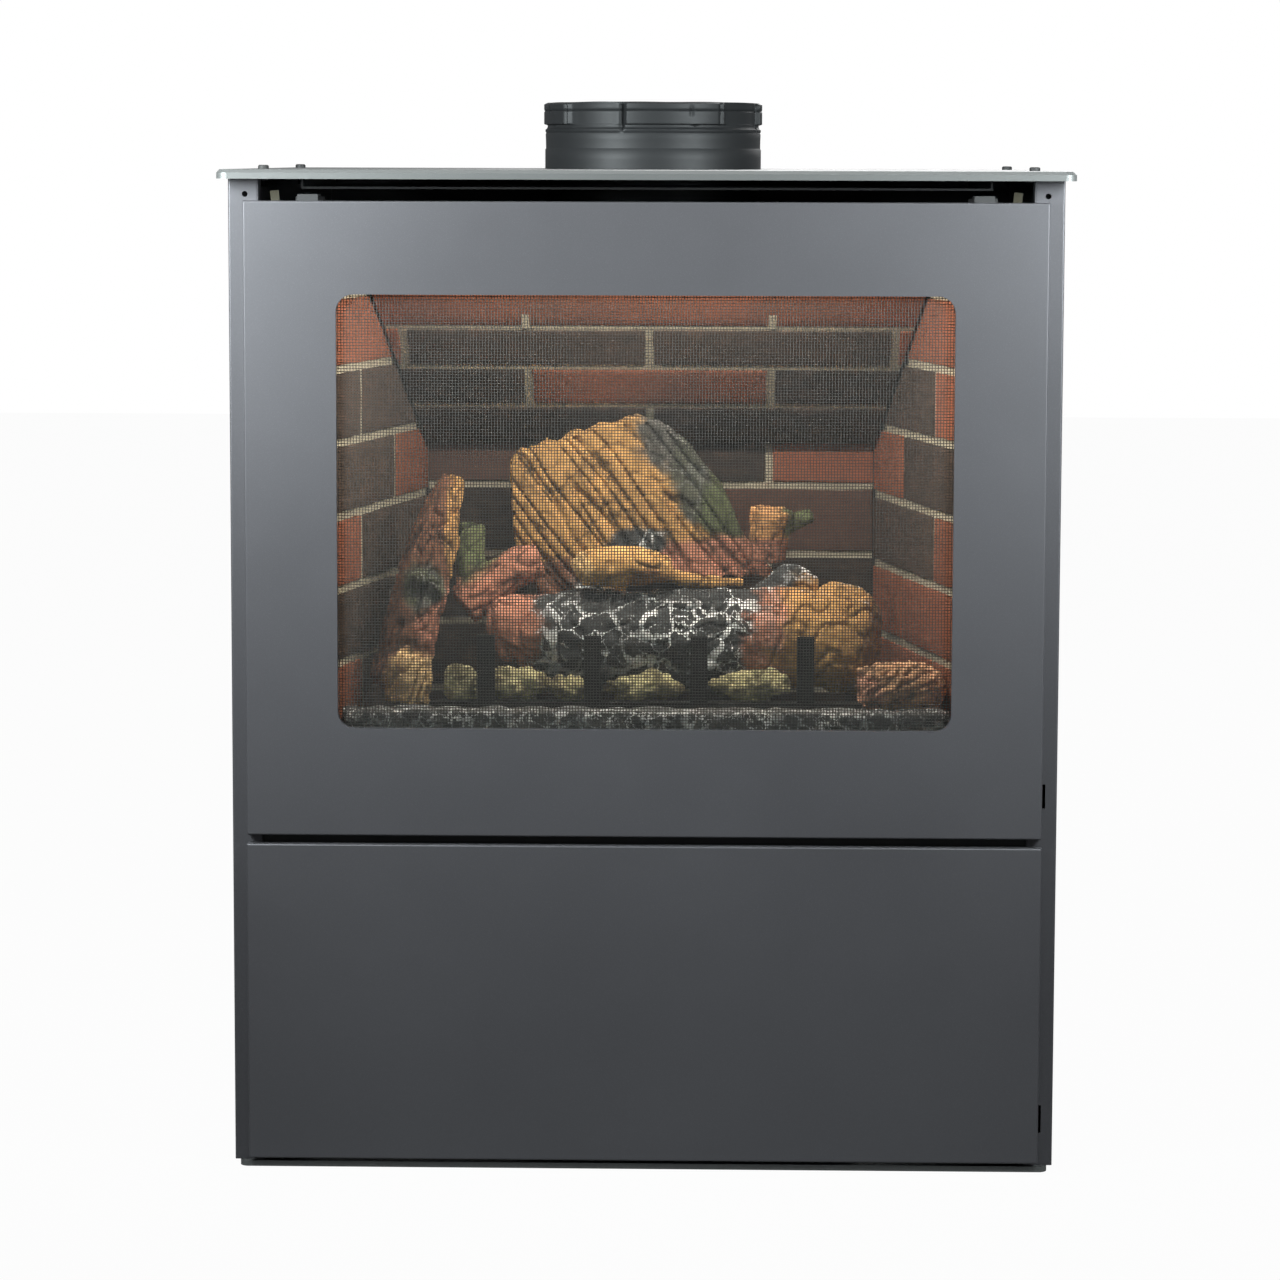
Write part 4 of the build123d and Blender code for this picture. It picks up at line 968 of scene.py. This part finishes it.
@dataclass
class Log:
    """One ceramic log of limbs, shaped, grooved and coloured.

    Attributes:
        name: the piece's name, its CAD node's with _carved.
        node: the CAD node that it replaces.
        limbs: each a list of points x, y, z with a radius, in millimetres.
        ground: its main colour.
        ash: how much white ash the main colour carries.
        zones: patches of other colours, the last on top.
        grooves: its bark lines, if it has them.
        lump: height of its coarse lumps, in millimetres.
        flat: its depth from front to back, as a share of its height.
        slab: an outline in x and z that is thickened between two depths, instead of limbs.
    """

    name: str
    node: str
    limbs: list[list[tuple[float, float, float, float]]]
    ground: Triple
    ash: float = 0.0
    zones: tuple[Zone, ...] = ()
    grooves: Grooves | None = None
    lump: float = 2.0
    flat: float = 1.0
    slab: list[tuple[float, float]] | None = None
    slab_depth: tuple[float, float] = (-42.0, 8.0)
    slot: str = "log_ceramic"
    voxel: float = 1.5

    def limb(self, points: list[tuple[float, float, float, float]]) -> bpy.types.Object:
        """One limb: a round bar through the points, then flattened from front to back."""
        curve = bpy.data.curves.new(self.name, "CURVE")
        curve.dimensions = "3D"
        curve.bevel_depth = 1.0 * MM
        curve.bevel_resolution = 5
        curve.use_fill_caps = True
        curve.resolution_u = 6
        line = curve.splines.new("BEZIER")
        line.bezier_points.add(len(points) - 1)
        for knot, (x, y, z, radius) in zip(line.bezier_points, points):
            knot.co = Vector((x, y, z)) * MM
            knot.radius = radius
            knot.handle_left_type = "AUTO"
            knot.handle_right_type = "AUTO"
        bar = bpy.data.objects.new(self.name, curve)
        bpy.context.scene.collection.objects.link(bar)
        Bench.pick(bar)
        bpy.ops.object.convert(target="MESH")
        bar = bpy.context.object
        middle = sum(point[1] for point in points) / len(points) * MM
        Bench.reshape(bar, lambda place, _n: Vector((place.x, middle + (place.y - middle) * self.flat, place.z)))
        return bar

    def plate(self) -> bpy.types.Object:
        """The slab's outline, extruded between its depths and rounded."""
        near, far = self.slab_depth
        mesh = bpy.data.meshes.new(self.name)
        corners = [(x * MM, near * MM, z * MM) for x, z in self.slab]
        mesh.from_pydata(corners, [], [tuple(range(len(corners)))])
        plate = bpy.data.objects.new(self.name, mesh)
        bpy.context.scene.collection.objects.link(plate)
        Bench.pick(plate)
        bpy.ops.object.mode_set(mode="EDIT")
        bpy.ops.mesh.select_all(action="SELECT")
        bpy.ops.mesh.extrude_region_move(TRANSFORM_OT_translate={"value": (0.0, (far - near) * MM, 0.0)})
        bpy.ops.object.mode_set(mode="OBJECT")
        Bench.outward(plate)
        return plate

    def carve(self, place: Vector, normal: Vector) -> Vector:
        """Where a point of the log goes: coarse lumps, fine crust and grooves."""
        coarse = noise.noise(place * 42.0) * 0.65 + noise.noise(place * 95.0) * 0.35
        crease = max(0.0, 0.82 - abs(noise.noise(place * 62.0 + Vector((3.0, 1.0, 8.0)))) * 5.0)
        crust = noise.noise(place * 210.0) * 0.6 + noise.noise(place * 430.0) * 0.35
        step = coarse * self.lump + crust - crease ** 2 * self.lump * 0.8
        if self.grooves:
            step -= self.grooves.deep(place) ** 2 * self.grooves.depth
        return place + normal * step * MM

    def tone(self, place: Vector, _normal: Vector) -> tuple:
        """A point's colour and ash: the ground, then each zone, with painted shade darkening the creases and grooves.
        """
        colour = Vector(paint(*self.ground)[:3])
        ash = self.ash
        for zone in self.zones:
            share = zone.share(place)
            colour = colour.lerp(Vector(paint(*zone.colour)[:3]), share)
            ash += (zone.ash - ash) * share
        shade = 1.0 + noise.noise(place * 70.0) * 0.3 + noise.noise(place * 260.0) * 0.16
        # Painted shade: the colour is darkened along the same creases and grooves that carve() cuts into the surface.
        crease = 0.82 - abs(noise.noise(place * 62.0 + Vector((3.0, 1.0, 8.0)))) * 5.0
        shade *= 1.0 - 0.5 * soft(crease, 0.2, 0.8)
        if self.grooves:
            shade *= 1.0 - 0.75 * soft(self.grooves.deep(place), 0.5, 0.95)
        return (*(colour * shade), ash)

    def build(self) -> None:
        """Joins limbs and slab to one skin, carves and colours it."""
        parts = [self.limb(points) for points in self.limbs]
        if self.slab:
            parts.append(self.plate())
        whole = Bench.join(self.name, parts)
        Bench.outward(whole)
        Bench.apply(whole, "REMESH", mode="VOXEL", voxel_size=self.voxel * MM)
        Bench.apply(whole, "SMOOTH", factor=0.5, iterations=6)
        Bench.reshape(whole, self.carve)
        Bench.colour(whole, self.tone)
        Bench.smooth(whole, 60.0)
        Bench.finish(whole, self.slot, "stove", self.node)


GOLD = (206, 160, 98)
PINK = (206, 142, 116)
RUST = (134, 90, 66)
CHAR = (72, 74, 77)
MOSS = (98, 106, 74)
SOOT = (38, 34, 32)


def log_set() -> list[Log]:
    """The seven logs of the fire, as they lie."""
    front = Log(
        "front_log_carved", "front_log",
        [[(-116, -100, 366, 13), (-106, -100, 367, 24), (-60, -104, 363, 33), (20, -106, 361, 36), (100, -104, 362, 37),
          (122, -102, 361, 36)],
         [(112, -103, 360, 30), (134, -103, 361, 41), (154, -102, 360, 40), (166, -100, 359, 24)],
         [(84, -78, 384, 15), (104, -76, 394, 18), (124, -74, 392, 12)]],
        CHAR, 1.0,
        (Zone((-104, -110, 372), (32, 60, 44), PINK, 0.0),
         Zone((98, -116, 356), (34, 60, 46), PINK, 0.1),
         Zone((132, -112, 362), (44, 60, 52), GOLD, 0.0),
         Zone((172, -100, 352), (22, 60, 40), (150, 112, 76), 0.0)),
        None, 4.6, 0.8)
    rear = Log(
        "rear_log_carved", "rear_log", [], GOLD, 0.0,
        (Zone((22, -20, 502), (36, 80, 30), (104, 102, 98), 0.1),
         Zone((46, -20, 476), (32, 80, 44), (92, 94, 82), 0.1),
         Zone((62, -20, 450), (26, 80, 34), MOSS, 0.0),
         Zone((52, -20, 412), (74, 80, 18), PINK, 0.0),
         Zone((-8, -40, 424), (26, 80, 12), CHAR, 1.0),
         Zone((-56, -20, 366), (40, 80, 42), CHAR, 0.8),
         Zone((-70, -20, 398), (24, 80, 16), RUST, 0.1)),
        Grooves((0.62, 0.0, -0.78), 7.6, 5.4, 120.0), 2.6, 1.0,
        [(-104, 484), (-96, 491), (-86, 491), (-78, 498), (-68, 497), (-58, 505), (-48, 504), (-38, 511), (-28, 510),
         (-12, 517), (8, 513), (30, 495), (58, 458), (72, 426), (94, 398),
         (38, 398), (-6, 402), (-30, 372), (-30, 322), (-72, 322), (-84, 392), (-100, 428)])
    left = Log(
        "left_log_carved", "left_log",
        [[(-180, -128, 328, 22), (-168, -104, 380, 21), (-157, -80, 430, 20), (-144, -62, 474, 9)],
         [(-172, -140, 318, 16), (-170, -138, 336, 17), (-168, -134, 350, 14)],
         [(-162, -112, 396, 14), (-160, -110, 399, 16), (-158, -108, 402, 14)]],
        RUST, 0.0,
        (Zone((-140, -80, 438), (9, 60, 46), GOLD, 0.0),
         Zone((-150, -110, 376), (16, 60, 30), PINK, 0.0),
         Zone((-168, -140, 330), (22, 40, 30), (255, 218, 160), 0.0),
         Zone((-161, -122, 400), (18, 40, 19), (96, 100, 78), 0.15)),
        Grooves((0.42, 0.1, 1.0), 7.5, 5.2, 80.0), 2.4)
    left_rear = Log(
        "left_rear_log_carved", "left_rear_log",
        [[(-136, -76, 380, 15), (-118, -70, 394, 16), (-96, -64, 408, 16), (-80, -60, 413, 14)],
         [(-128, -70, 384, 13), (-131, -52, 428, 11), (-130, -48, 438, 10)]],
        (212, 146, 118), 0.0,
        (Zone((-130, -52, 430), (24, 60, 34), (112, 120, 82), 0.0),),
        Grooves((0.8, 0.2, 0.5), 12.0, 2.0, 60.0), 2.2, voxel=1.6)
    cross = Log(
        "cross_log_carved", "cross_log",
        [[(-50, -112, 407, 10), (-44, -112, 412, 14), (-20, -112, 414, 15), (8, -110, 413, 13), (16, -108, 409, 9)],
         [(6, -106, 409, 7), (40, -96, 402, 5), (70, -88, 400, 3)]],
        GOLD, 0.0,
        (Zone((0, -112, 404), (16, 40, 10), (160, 112, 70), 0.0), Zone((-50, -112, 412), (12, 40, 14), (222, 184, 128), 0.0)),
        None, 3.6, voxel=1.4)
    stump = Log(
        "stump_log_carved", "stump_log",
        [[(88, -62, 414, 13), (89, -64, 432, 15), (91, -66, 452, 17)],
         [(92, -62, 436, 8), (108, -56, 442, 7), (121, -52, 446, 6)]],
        (214, 160, 104), 0.0,
        (Zone((112, -54, 444), (18, 40, 16), (112, 120, 82), 0.0), Zone((91, -66, 470), (14, 40, 6), (150, 112, 74), 0.0),
         Zone((88, -66, 420), (22, 40, 12), PINK, 0.0)),
        Grooves((0.0, 0.0, 1.0), 6.0, 1.2, 40.0), 1.2, voxel=1.4)
    bark = Log(
        "right_bark_chunk_carved", "right_bark_chunk",
        [[(153, -146, 331, 15), (176, -142, 333, 19), (200, -136, 331, 18), (212, -133, 330, 12)]],
        (244, 192, 146), 0.0,
        (Zone((158, -150, 326), (14, 40, 18), (240, 180, 150), 0.0),),
        Grooves((0.75, 0.0, 0.65), 7.0, 3.6, 34.0), 4.0, voxel=1.5)
    return [front, rear, left, left_rear, cross, stump, bark]


@dataclass
class EmberBed:
    """The charcoal strip along the front and the wool lumps on the grate.

    Attributes:
        half_width, front, back, low, top: the strip, in millimetres.
        chunks: the lumps as x, half length and height.
        chunk_y, chunk_z: where the lumps stand.
    """

    half_width: float = 214.0
    front: float = -188.0
    back: float = -163.0
    low: float = 286.6
    top: float = 320.0
    chunks: tuple[Triple, ...] = ((-132, 13, 12), (-94, 25, 12), (-58, 15, 9), (0, 27, 10), (76, 27, 11))
    chunk_y: float = -145.0
    chunk_z: float = 322.0

    def strip(self) -> None:
        """A bar with a crumbled upper edge."""
        low = Vector((-self.half_width, self.front, self.low)) * MM
        high = Vector((self.half_width, self.back, self.top)) * MM
        bar = Bench.block("ember_strip_carved", low, high)
        Bench.apply(bar, "REMESH", mode="VOXEL", voxel_size=2.6 * MM)
        Bench.apply(bar, "SMOOTH", factor=0.5, iterations=4)

        def crumble(place: Vector, normal: Vector) -> Vector:
            """Lumps on the top and the front."""
            lumps = noise.noise(place * 65.0) * 1.6 + noise.noise(place * 190.0) * 0.9
            return place + normal * lumps * MM * soft(place.z / MM, 290.0, 300.0)

        Bench.reshape(bar, crumble)
        dark = paint(86, 87, 89)
        Bench.colour(bar, lambda place, _n: (*dark[:3], 1.0 - soft(place.z / MM, 318.0, 321.0) * 0.7))
        Bench.smooth(bar, 60.0)
        Bench.finish(bar, "charcoal", "stove", "ember_strip")

    def lumps(self) -> None:
        """Wool lumps: balls drawn out and crumpled."""
        made = []
        for number, (x, half, height) in enumerate(self.chunks):
            Bench.clear()
            place = Vector((x, self.chunk_y, self.chunk_z + height)) * MM
            bpy.ops.mesh.primitive_ico_sphere_add(subdivisions=5, radius=1.0, location=place)
            ball = bpy.context.object
            ball.scale = Vector((half, 10.0, height)) * MM
            Bench.settle(ball)
            seed = Vector((number * 7.3, 1.7, 4.1))

            def crumple(point: Vector, normal: Vector, seed: Vector = seed) -> Vector:
                """Deep folds and a fluffy crust."""
                fold = noise.noise(point * 90.0 + seed) * 5.0 + abs(noise.noise(point * 170.0 + seed)) * 4.0
                fold += noise.noise(point * 380.0 + seed) * 1.2 - 1.0
                moved = point + normal * fold * MM
                moved.z = max(moved.z, (self.chunk_z + 0.1) * MM)
                return moved

            Bench.reshape(ball, crumple)
            Bench.smooth(ball, 60.0)
            made.append(ball)
        pile = Bench.join("ember_chunks_crumpled", made)
        Bench.finish(pile, "ember", "stove", "ember_chunks")


def brick_lining() -> list[BrickWall]:
    """The four brick panels, from the firebox's own sizes."""
    pitch = 52.6
    side_lines = [295.0 - 286.5 + pitch * row for row in range(7)]
    slope = 0.24
    walls = []
    for side, name in ((-1.0, "left"), (1.0, "right")):
        foot = Vector((side * (219.0 - slope * 81.75), -68.25, 286.5))
        run = Vector((side * slope, -1.0, 0.0)).normalized() * side
        length = 237.5 * math.hypot(1.0, slope) / 2.0
        front_joint, rear_joint = ((y + 68.25) * -side * math.hypot(1.0, slope) for y in (-99.0, -25.0))
        tones = ["rr", "rd", "dr", "rd", "dr", "dd", "rr", "rr"]
        if side > 0:
            tones = ["rr", "rr", "rr", "dr", "rd", "dr", "rr", "rr"]
        walls.append(BrickWall(f"brick_wall_{name}", foot, run, Vector((0, 0, 1)), 0.0, 367.5, length, length,
                               side_lines, [[rear_joint], [front_joint]], tones, (f"brick_panel_{name}",)))
    rear_lines = [300.4 - 286.5 + pitch * row for row in range(4)]
    walls.append(BrickWall("brick_wall_rear_lower", Vector((0.0, 51.0, 286.5)), Vector((1, 0, 0)), Vector((0, 0, 1)),
                           0.0, 204.5, 170.2, 170.2, rear_lines, [[-90.5, 90.5], [0.0]],
                           # Painted shadow: the lower rear wall is laid mostly in near-black and dark red-brown bricks
                           # for the shade behind the logs and under the leaning panel, with some soot; only one brick
                           # stays red.
                           ["kkk", "kk", "kkk", "kb", "bkr"],
                           ("brick_panel_rear_lower",)))
    lean = math.radians(47.1)
    walls.append(BrickWall("brick_wall_rear_upper", Vector((0.0, 41.0, 491.0)), Vector((1, 0, 0)),
                           Vector((0.0, -math.sin(lean), math.cos(lean))), 0.0, 198.0, 170.4, 170.4,
                           [45.5, 91.0, 136.5], [[0.0], [-90.5, 90.5], [-181.0, 0.0, 181.0], []],
                           ["kk", "krk", "rddr", "r"], ("brick_panel_rear_upper",), splay=0.175, recess=0.9,
                           stubs=(-90.5, 90.5)))
    return walls


@dataclass
class Studio:
    """The photograph's camera, soft lamps, floor and backdrop.

    Attributes:
        camera_at: the camera's place.
        yaw, pitch, roll: its turn to the left, down, and clockwise, in degrees.
        lens: its focal length on a 36 mm sensor.
        shift: how far the frame is moved down.
        mirrored: how much of the white room shows in shiny surfaces.
    """

    camera_at: Triple = (0.0402, -2.6263, 0.7091)
    yaw: float = 1.035
    pitch: float = 5.374
    roll: float = 0.175
    lens: float = 98.49
    shift: float = -0.12
    mirrored: float = 0.15

    def camera(self) -> None:
        """Places the camera as the photograph's was."""
        data = bpy.data.cameras.new("photo_camera")
        data.lens = self.lens
        data.sensor_width = 36.0
        data.shift_y = self.shift
        data.clip_start = 0.05
        camera = bpy.data.objects.new("photo_camera", data)
        bpy.context.scene.collection.objects.link(camera)
        yaw, pitch, roll = (math.radians(value) for value in (self.yaw, self.pitch, self.roll))
        forward = Vector((-math.sin(yaw) * math.cos(pitch), math.cos(yaw) * math.cos(pitch), -math.sin(pitch)))
        right = Vector((math.cos(yaw), math.sin(yaw), 0.0))
        above = right.cross(forward)
        turned_right = right * math.cos(roll) + above * math.sin(roll)
        turned_above = above * math.cos(roll) - right * math.sin(roll)
        columns = (turned_right, turned_above, -forward)
        turn = Matrix([[column[row] for column in columns] for row in range(3)]).to_4x4()
        camera.matrix_world = Matrix.Translation(Vector(self.camera_at)) @ turn
        bpy.context.scene.camera = camera

    def lamp(self, name: str, place: Triple, aim: Triple, size: tuple[float, float], power: float,
             colour: Triple = (1.0, 1.0, 1.0), spread: float = 180.0) -> None:
        """One rectangular soft lamp.

        Args:
            name: its name.
            place: where it hangs.
            aim: the point that it faces.
            size: its width and height.
            power: its strength in watts.
            colour: its colour.
            spread: how wide its light opens, in degrees.
        """
        data = bpy.data.lights.new(name, "AREA")
        data.spread = math.radians(spread)
        data.shape = "RECTANGLE"
        data.size, data.size_y = size
        data.energy = power
        data.color = colour
        lamp = bpy.data.objects.new(name, data)
        bpy.context.scene.collection.objects.link(lamp)
        lamp.location = place
        lamp.rotation_euler = (Vector(aim) - Vector(place)).to_track_quat("-Z", "Y").to_euler()

    def world(self) -> None:
        """A grey room that the camera, mirrors and glass see as white."""
        world = bpy.data.worlds.new("studio_world")
        world.use_nodes = True
        bpy.context.scene.world = world
        tree = world.node_tree
        tree.nodes.clear()
        path = tree.nodes.new("ShaderNodeLightPath")
        most = tree.nodes.new("ShaderNodeMath")
        most.operation = "MAXIMUM"
        room = tree.nodes.new("ShaderNodeBackground")
        room.inputs["Color"].default_value = (0.92, 0.96, 1.0, 1.0)
        room.inputs["Strength"].default_value = 0.12
        white = tree.nodes.new("ShaderNodeBackground")
        white.inputs["Strength"].default_value = 1.0
        white.inputs["Color"].default_value = (1.0, 1.0, 1.0, 1.0)
        mix = tree.nodes.new("ShaderNodeMixShader")
        output = tree.nodes.new("ShaderNodeOutputWorld")
        tree.links.new(path.outputs["Is Camera Ray"], most.inputs[0])
        tree.links.new(path.outputs["Is Transmission Ray"], most.inputs[1])
        gloss = tree.nodes.new("ShaderNodeMath")
        gloss.operation = "MULTIPLY_ADD"
        gloss.inputs[1].default_value = self.mirrored
        tree.links.new(path.outputs["Is Glossy Ray"], gloss.inputs[0])
        tree.links.new(most.outputs[0], gloss.inputs[2])
        tree.links.new(gloss.outputs[0], mix.inputs[0])
        tree.links.new(room.outputs[0], mix.inputs[1])
        tree.links.new(white.outputs[0], mix.inputs[2])
        tree.links.new(mix.outputs[0], output.inputs[0])

    def floor(self) -> None:
        """A pale floor that is near white to the camera and keeps the stove's shadow."""
        Bench.clear()
        bpy.ops.mesh.primitive_plane_add(size=14.0, location=(0.0, 0.0, -0.0003))
        floor = bpy.context.object
        floor.name = "studio_floor"
        sheet = Sheet("studio_floor")
        path = sheet.node("ShaderNodeLightPath", out="Is Camera Ray")
        pale = sheet.noise(3.0, 2.0) * 0.03 + 0.2
        tone = sheet.node("ShaderNodeCombineColor", inputs={0: pale, 1: pale, 2: pale})
        matt = sheet.node("ShaderNodeBsdfDiffuse", inputs={"Color": tone})
        glow = sheet.node("ShaderNodeEmission", inputs={"Color": (1, 1, 1, 1), "Strength": 1.0})
        floor.data.materials.append(
            sheet.end(sheet.node("ShaderNodeMixShader", inputs={0: path * 0.97, 1: matt, 2: glow})))

    def build(self) -> None:
        """Sets up the whole studio."""
        bpy.context.scene.view_settings.view_transform = "Standard"
        self.camera()
        self.world()
        self.floor()
        cool = (0.9, 0.98, 1.0)
        self.lamp("key_lamp", (-0.62, -0.64, 0.88), (-0.25, -0.2, 0.66), (0.3, 0.4), 9.6, cool, 110.0)
        self.lamp("right_lamp", (0.66, -0.66, 0.86), (0.26, -0.2, 0.64), (0.3, 0.4), 7.6, cool, 110.0)
        self.lamp("top_lamp", (0.0, 0.1, 2.4), (0.0, 0.1, 0.7), (1.6, 1.0), 11.0)
        self.lamp("back_lamp", (0.6, 2.0, 1.6), (0.0, 0.2, 0.4), (1.6, 1.0), 26.0)
        self.lamp("fire_lamp", (0.0, -0.186, 0.645), (0.0, -0.13, 0.36), (0.3, 0.02), 1.9, (1.0, 0.92, 0.82))


def dress_frame() -> None:
    """Gives every CAD node its finish by the record's slots."""
    for part in frame["record"]["subparts"]:
        node = frame["nodes"][part["node"]]
        finish = Bench.materials[part["material_slot"]]
        if not node.material_slots:
            node.data.materials.append(finish)
        for slot in node.material_slots:
            slot.material = finish
    LOG.info("%d CAD nodes dressed", len(frame["nodes"]))


def main() -> None:
    """Builds and reports every sub-assembly in order."""
    logging.basicConfig(level=logging.INFO, format="%(name)s %(message)s")
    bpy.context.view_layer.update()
    Bench.materials = {slot: finish.made(slot) for slot, finish in PAINTS.items()}
    Bench.materials["mortar"] = Mortar().made("mortar")
    dress_frame()
    Studio().build()
    WovenScreen().build()
    VentCollar().build()
    for wall in brick_lining():
        wall.build()
    for log in log_set():
        log.build()
    embers = EmberBed()
    embers.strip()
    embers.lumps()


if __name__ == "__main__":
    main()
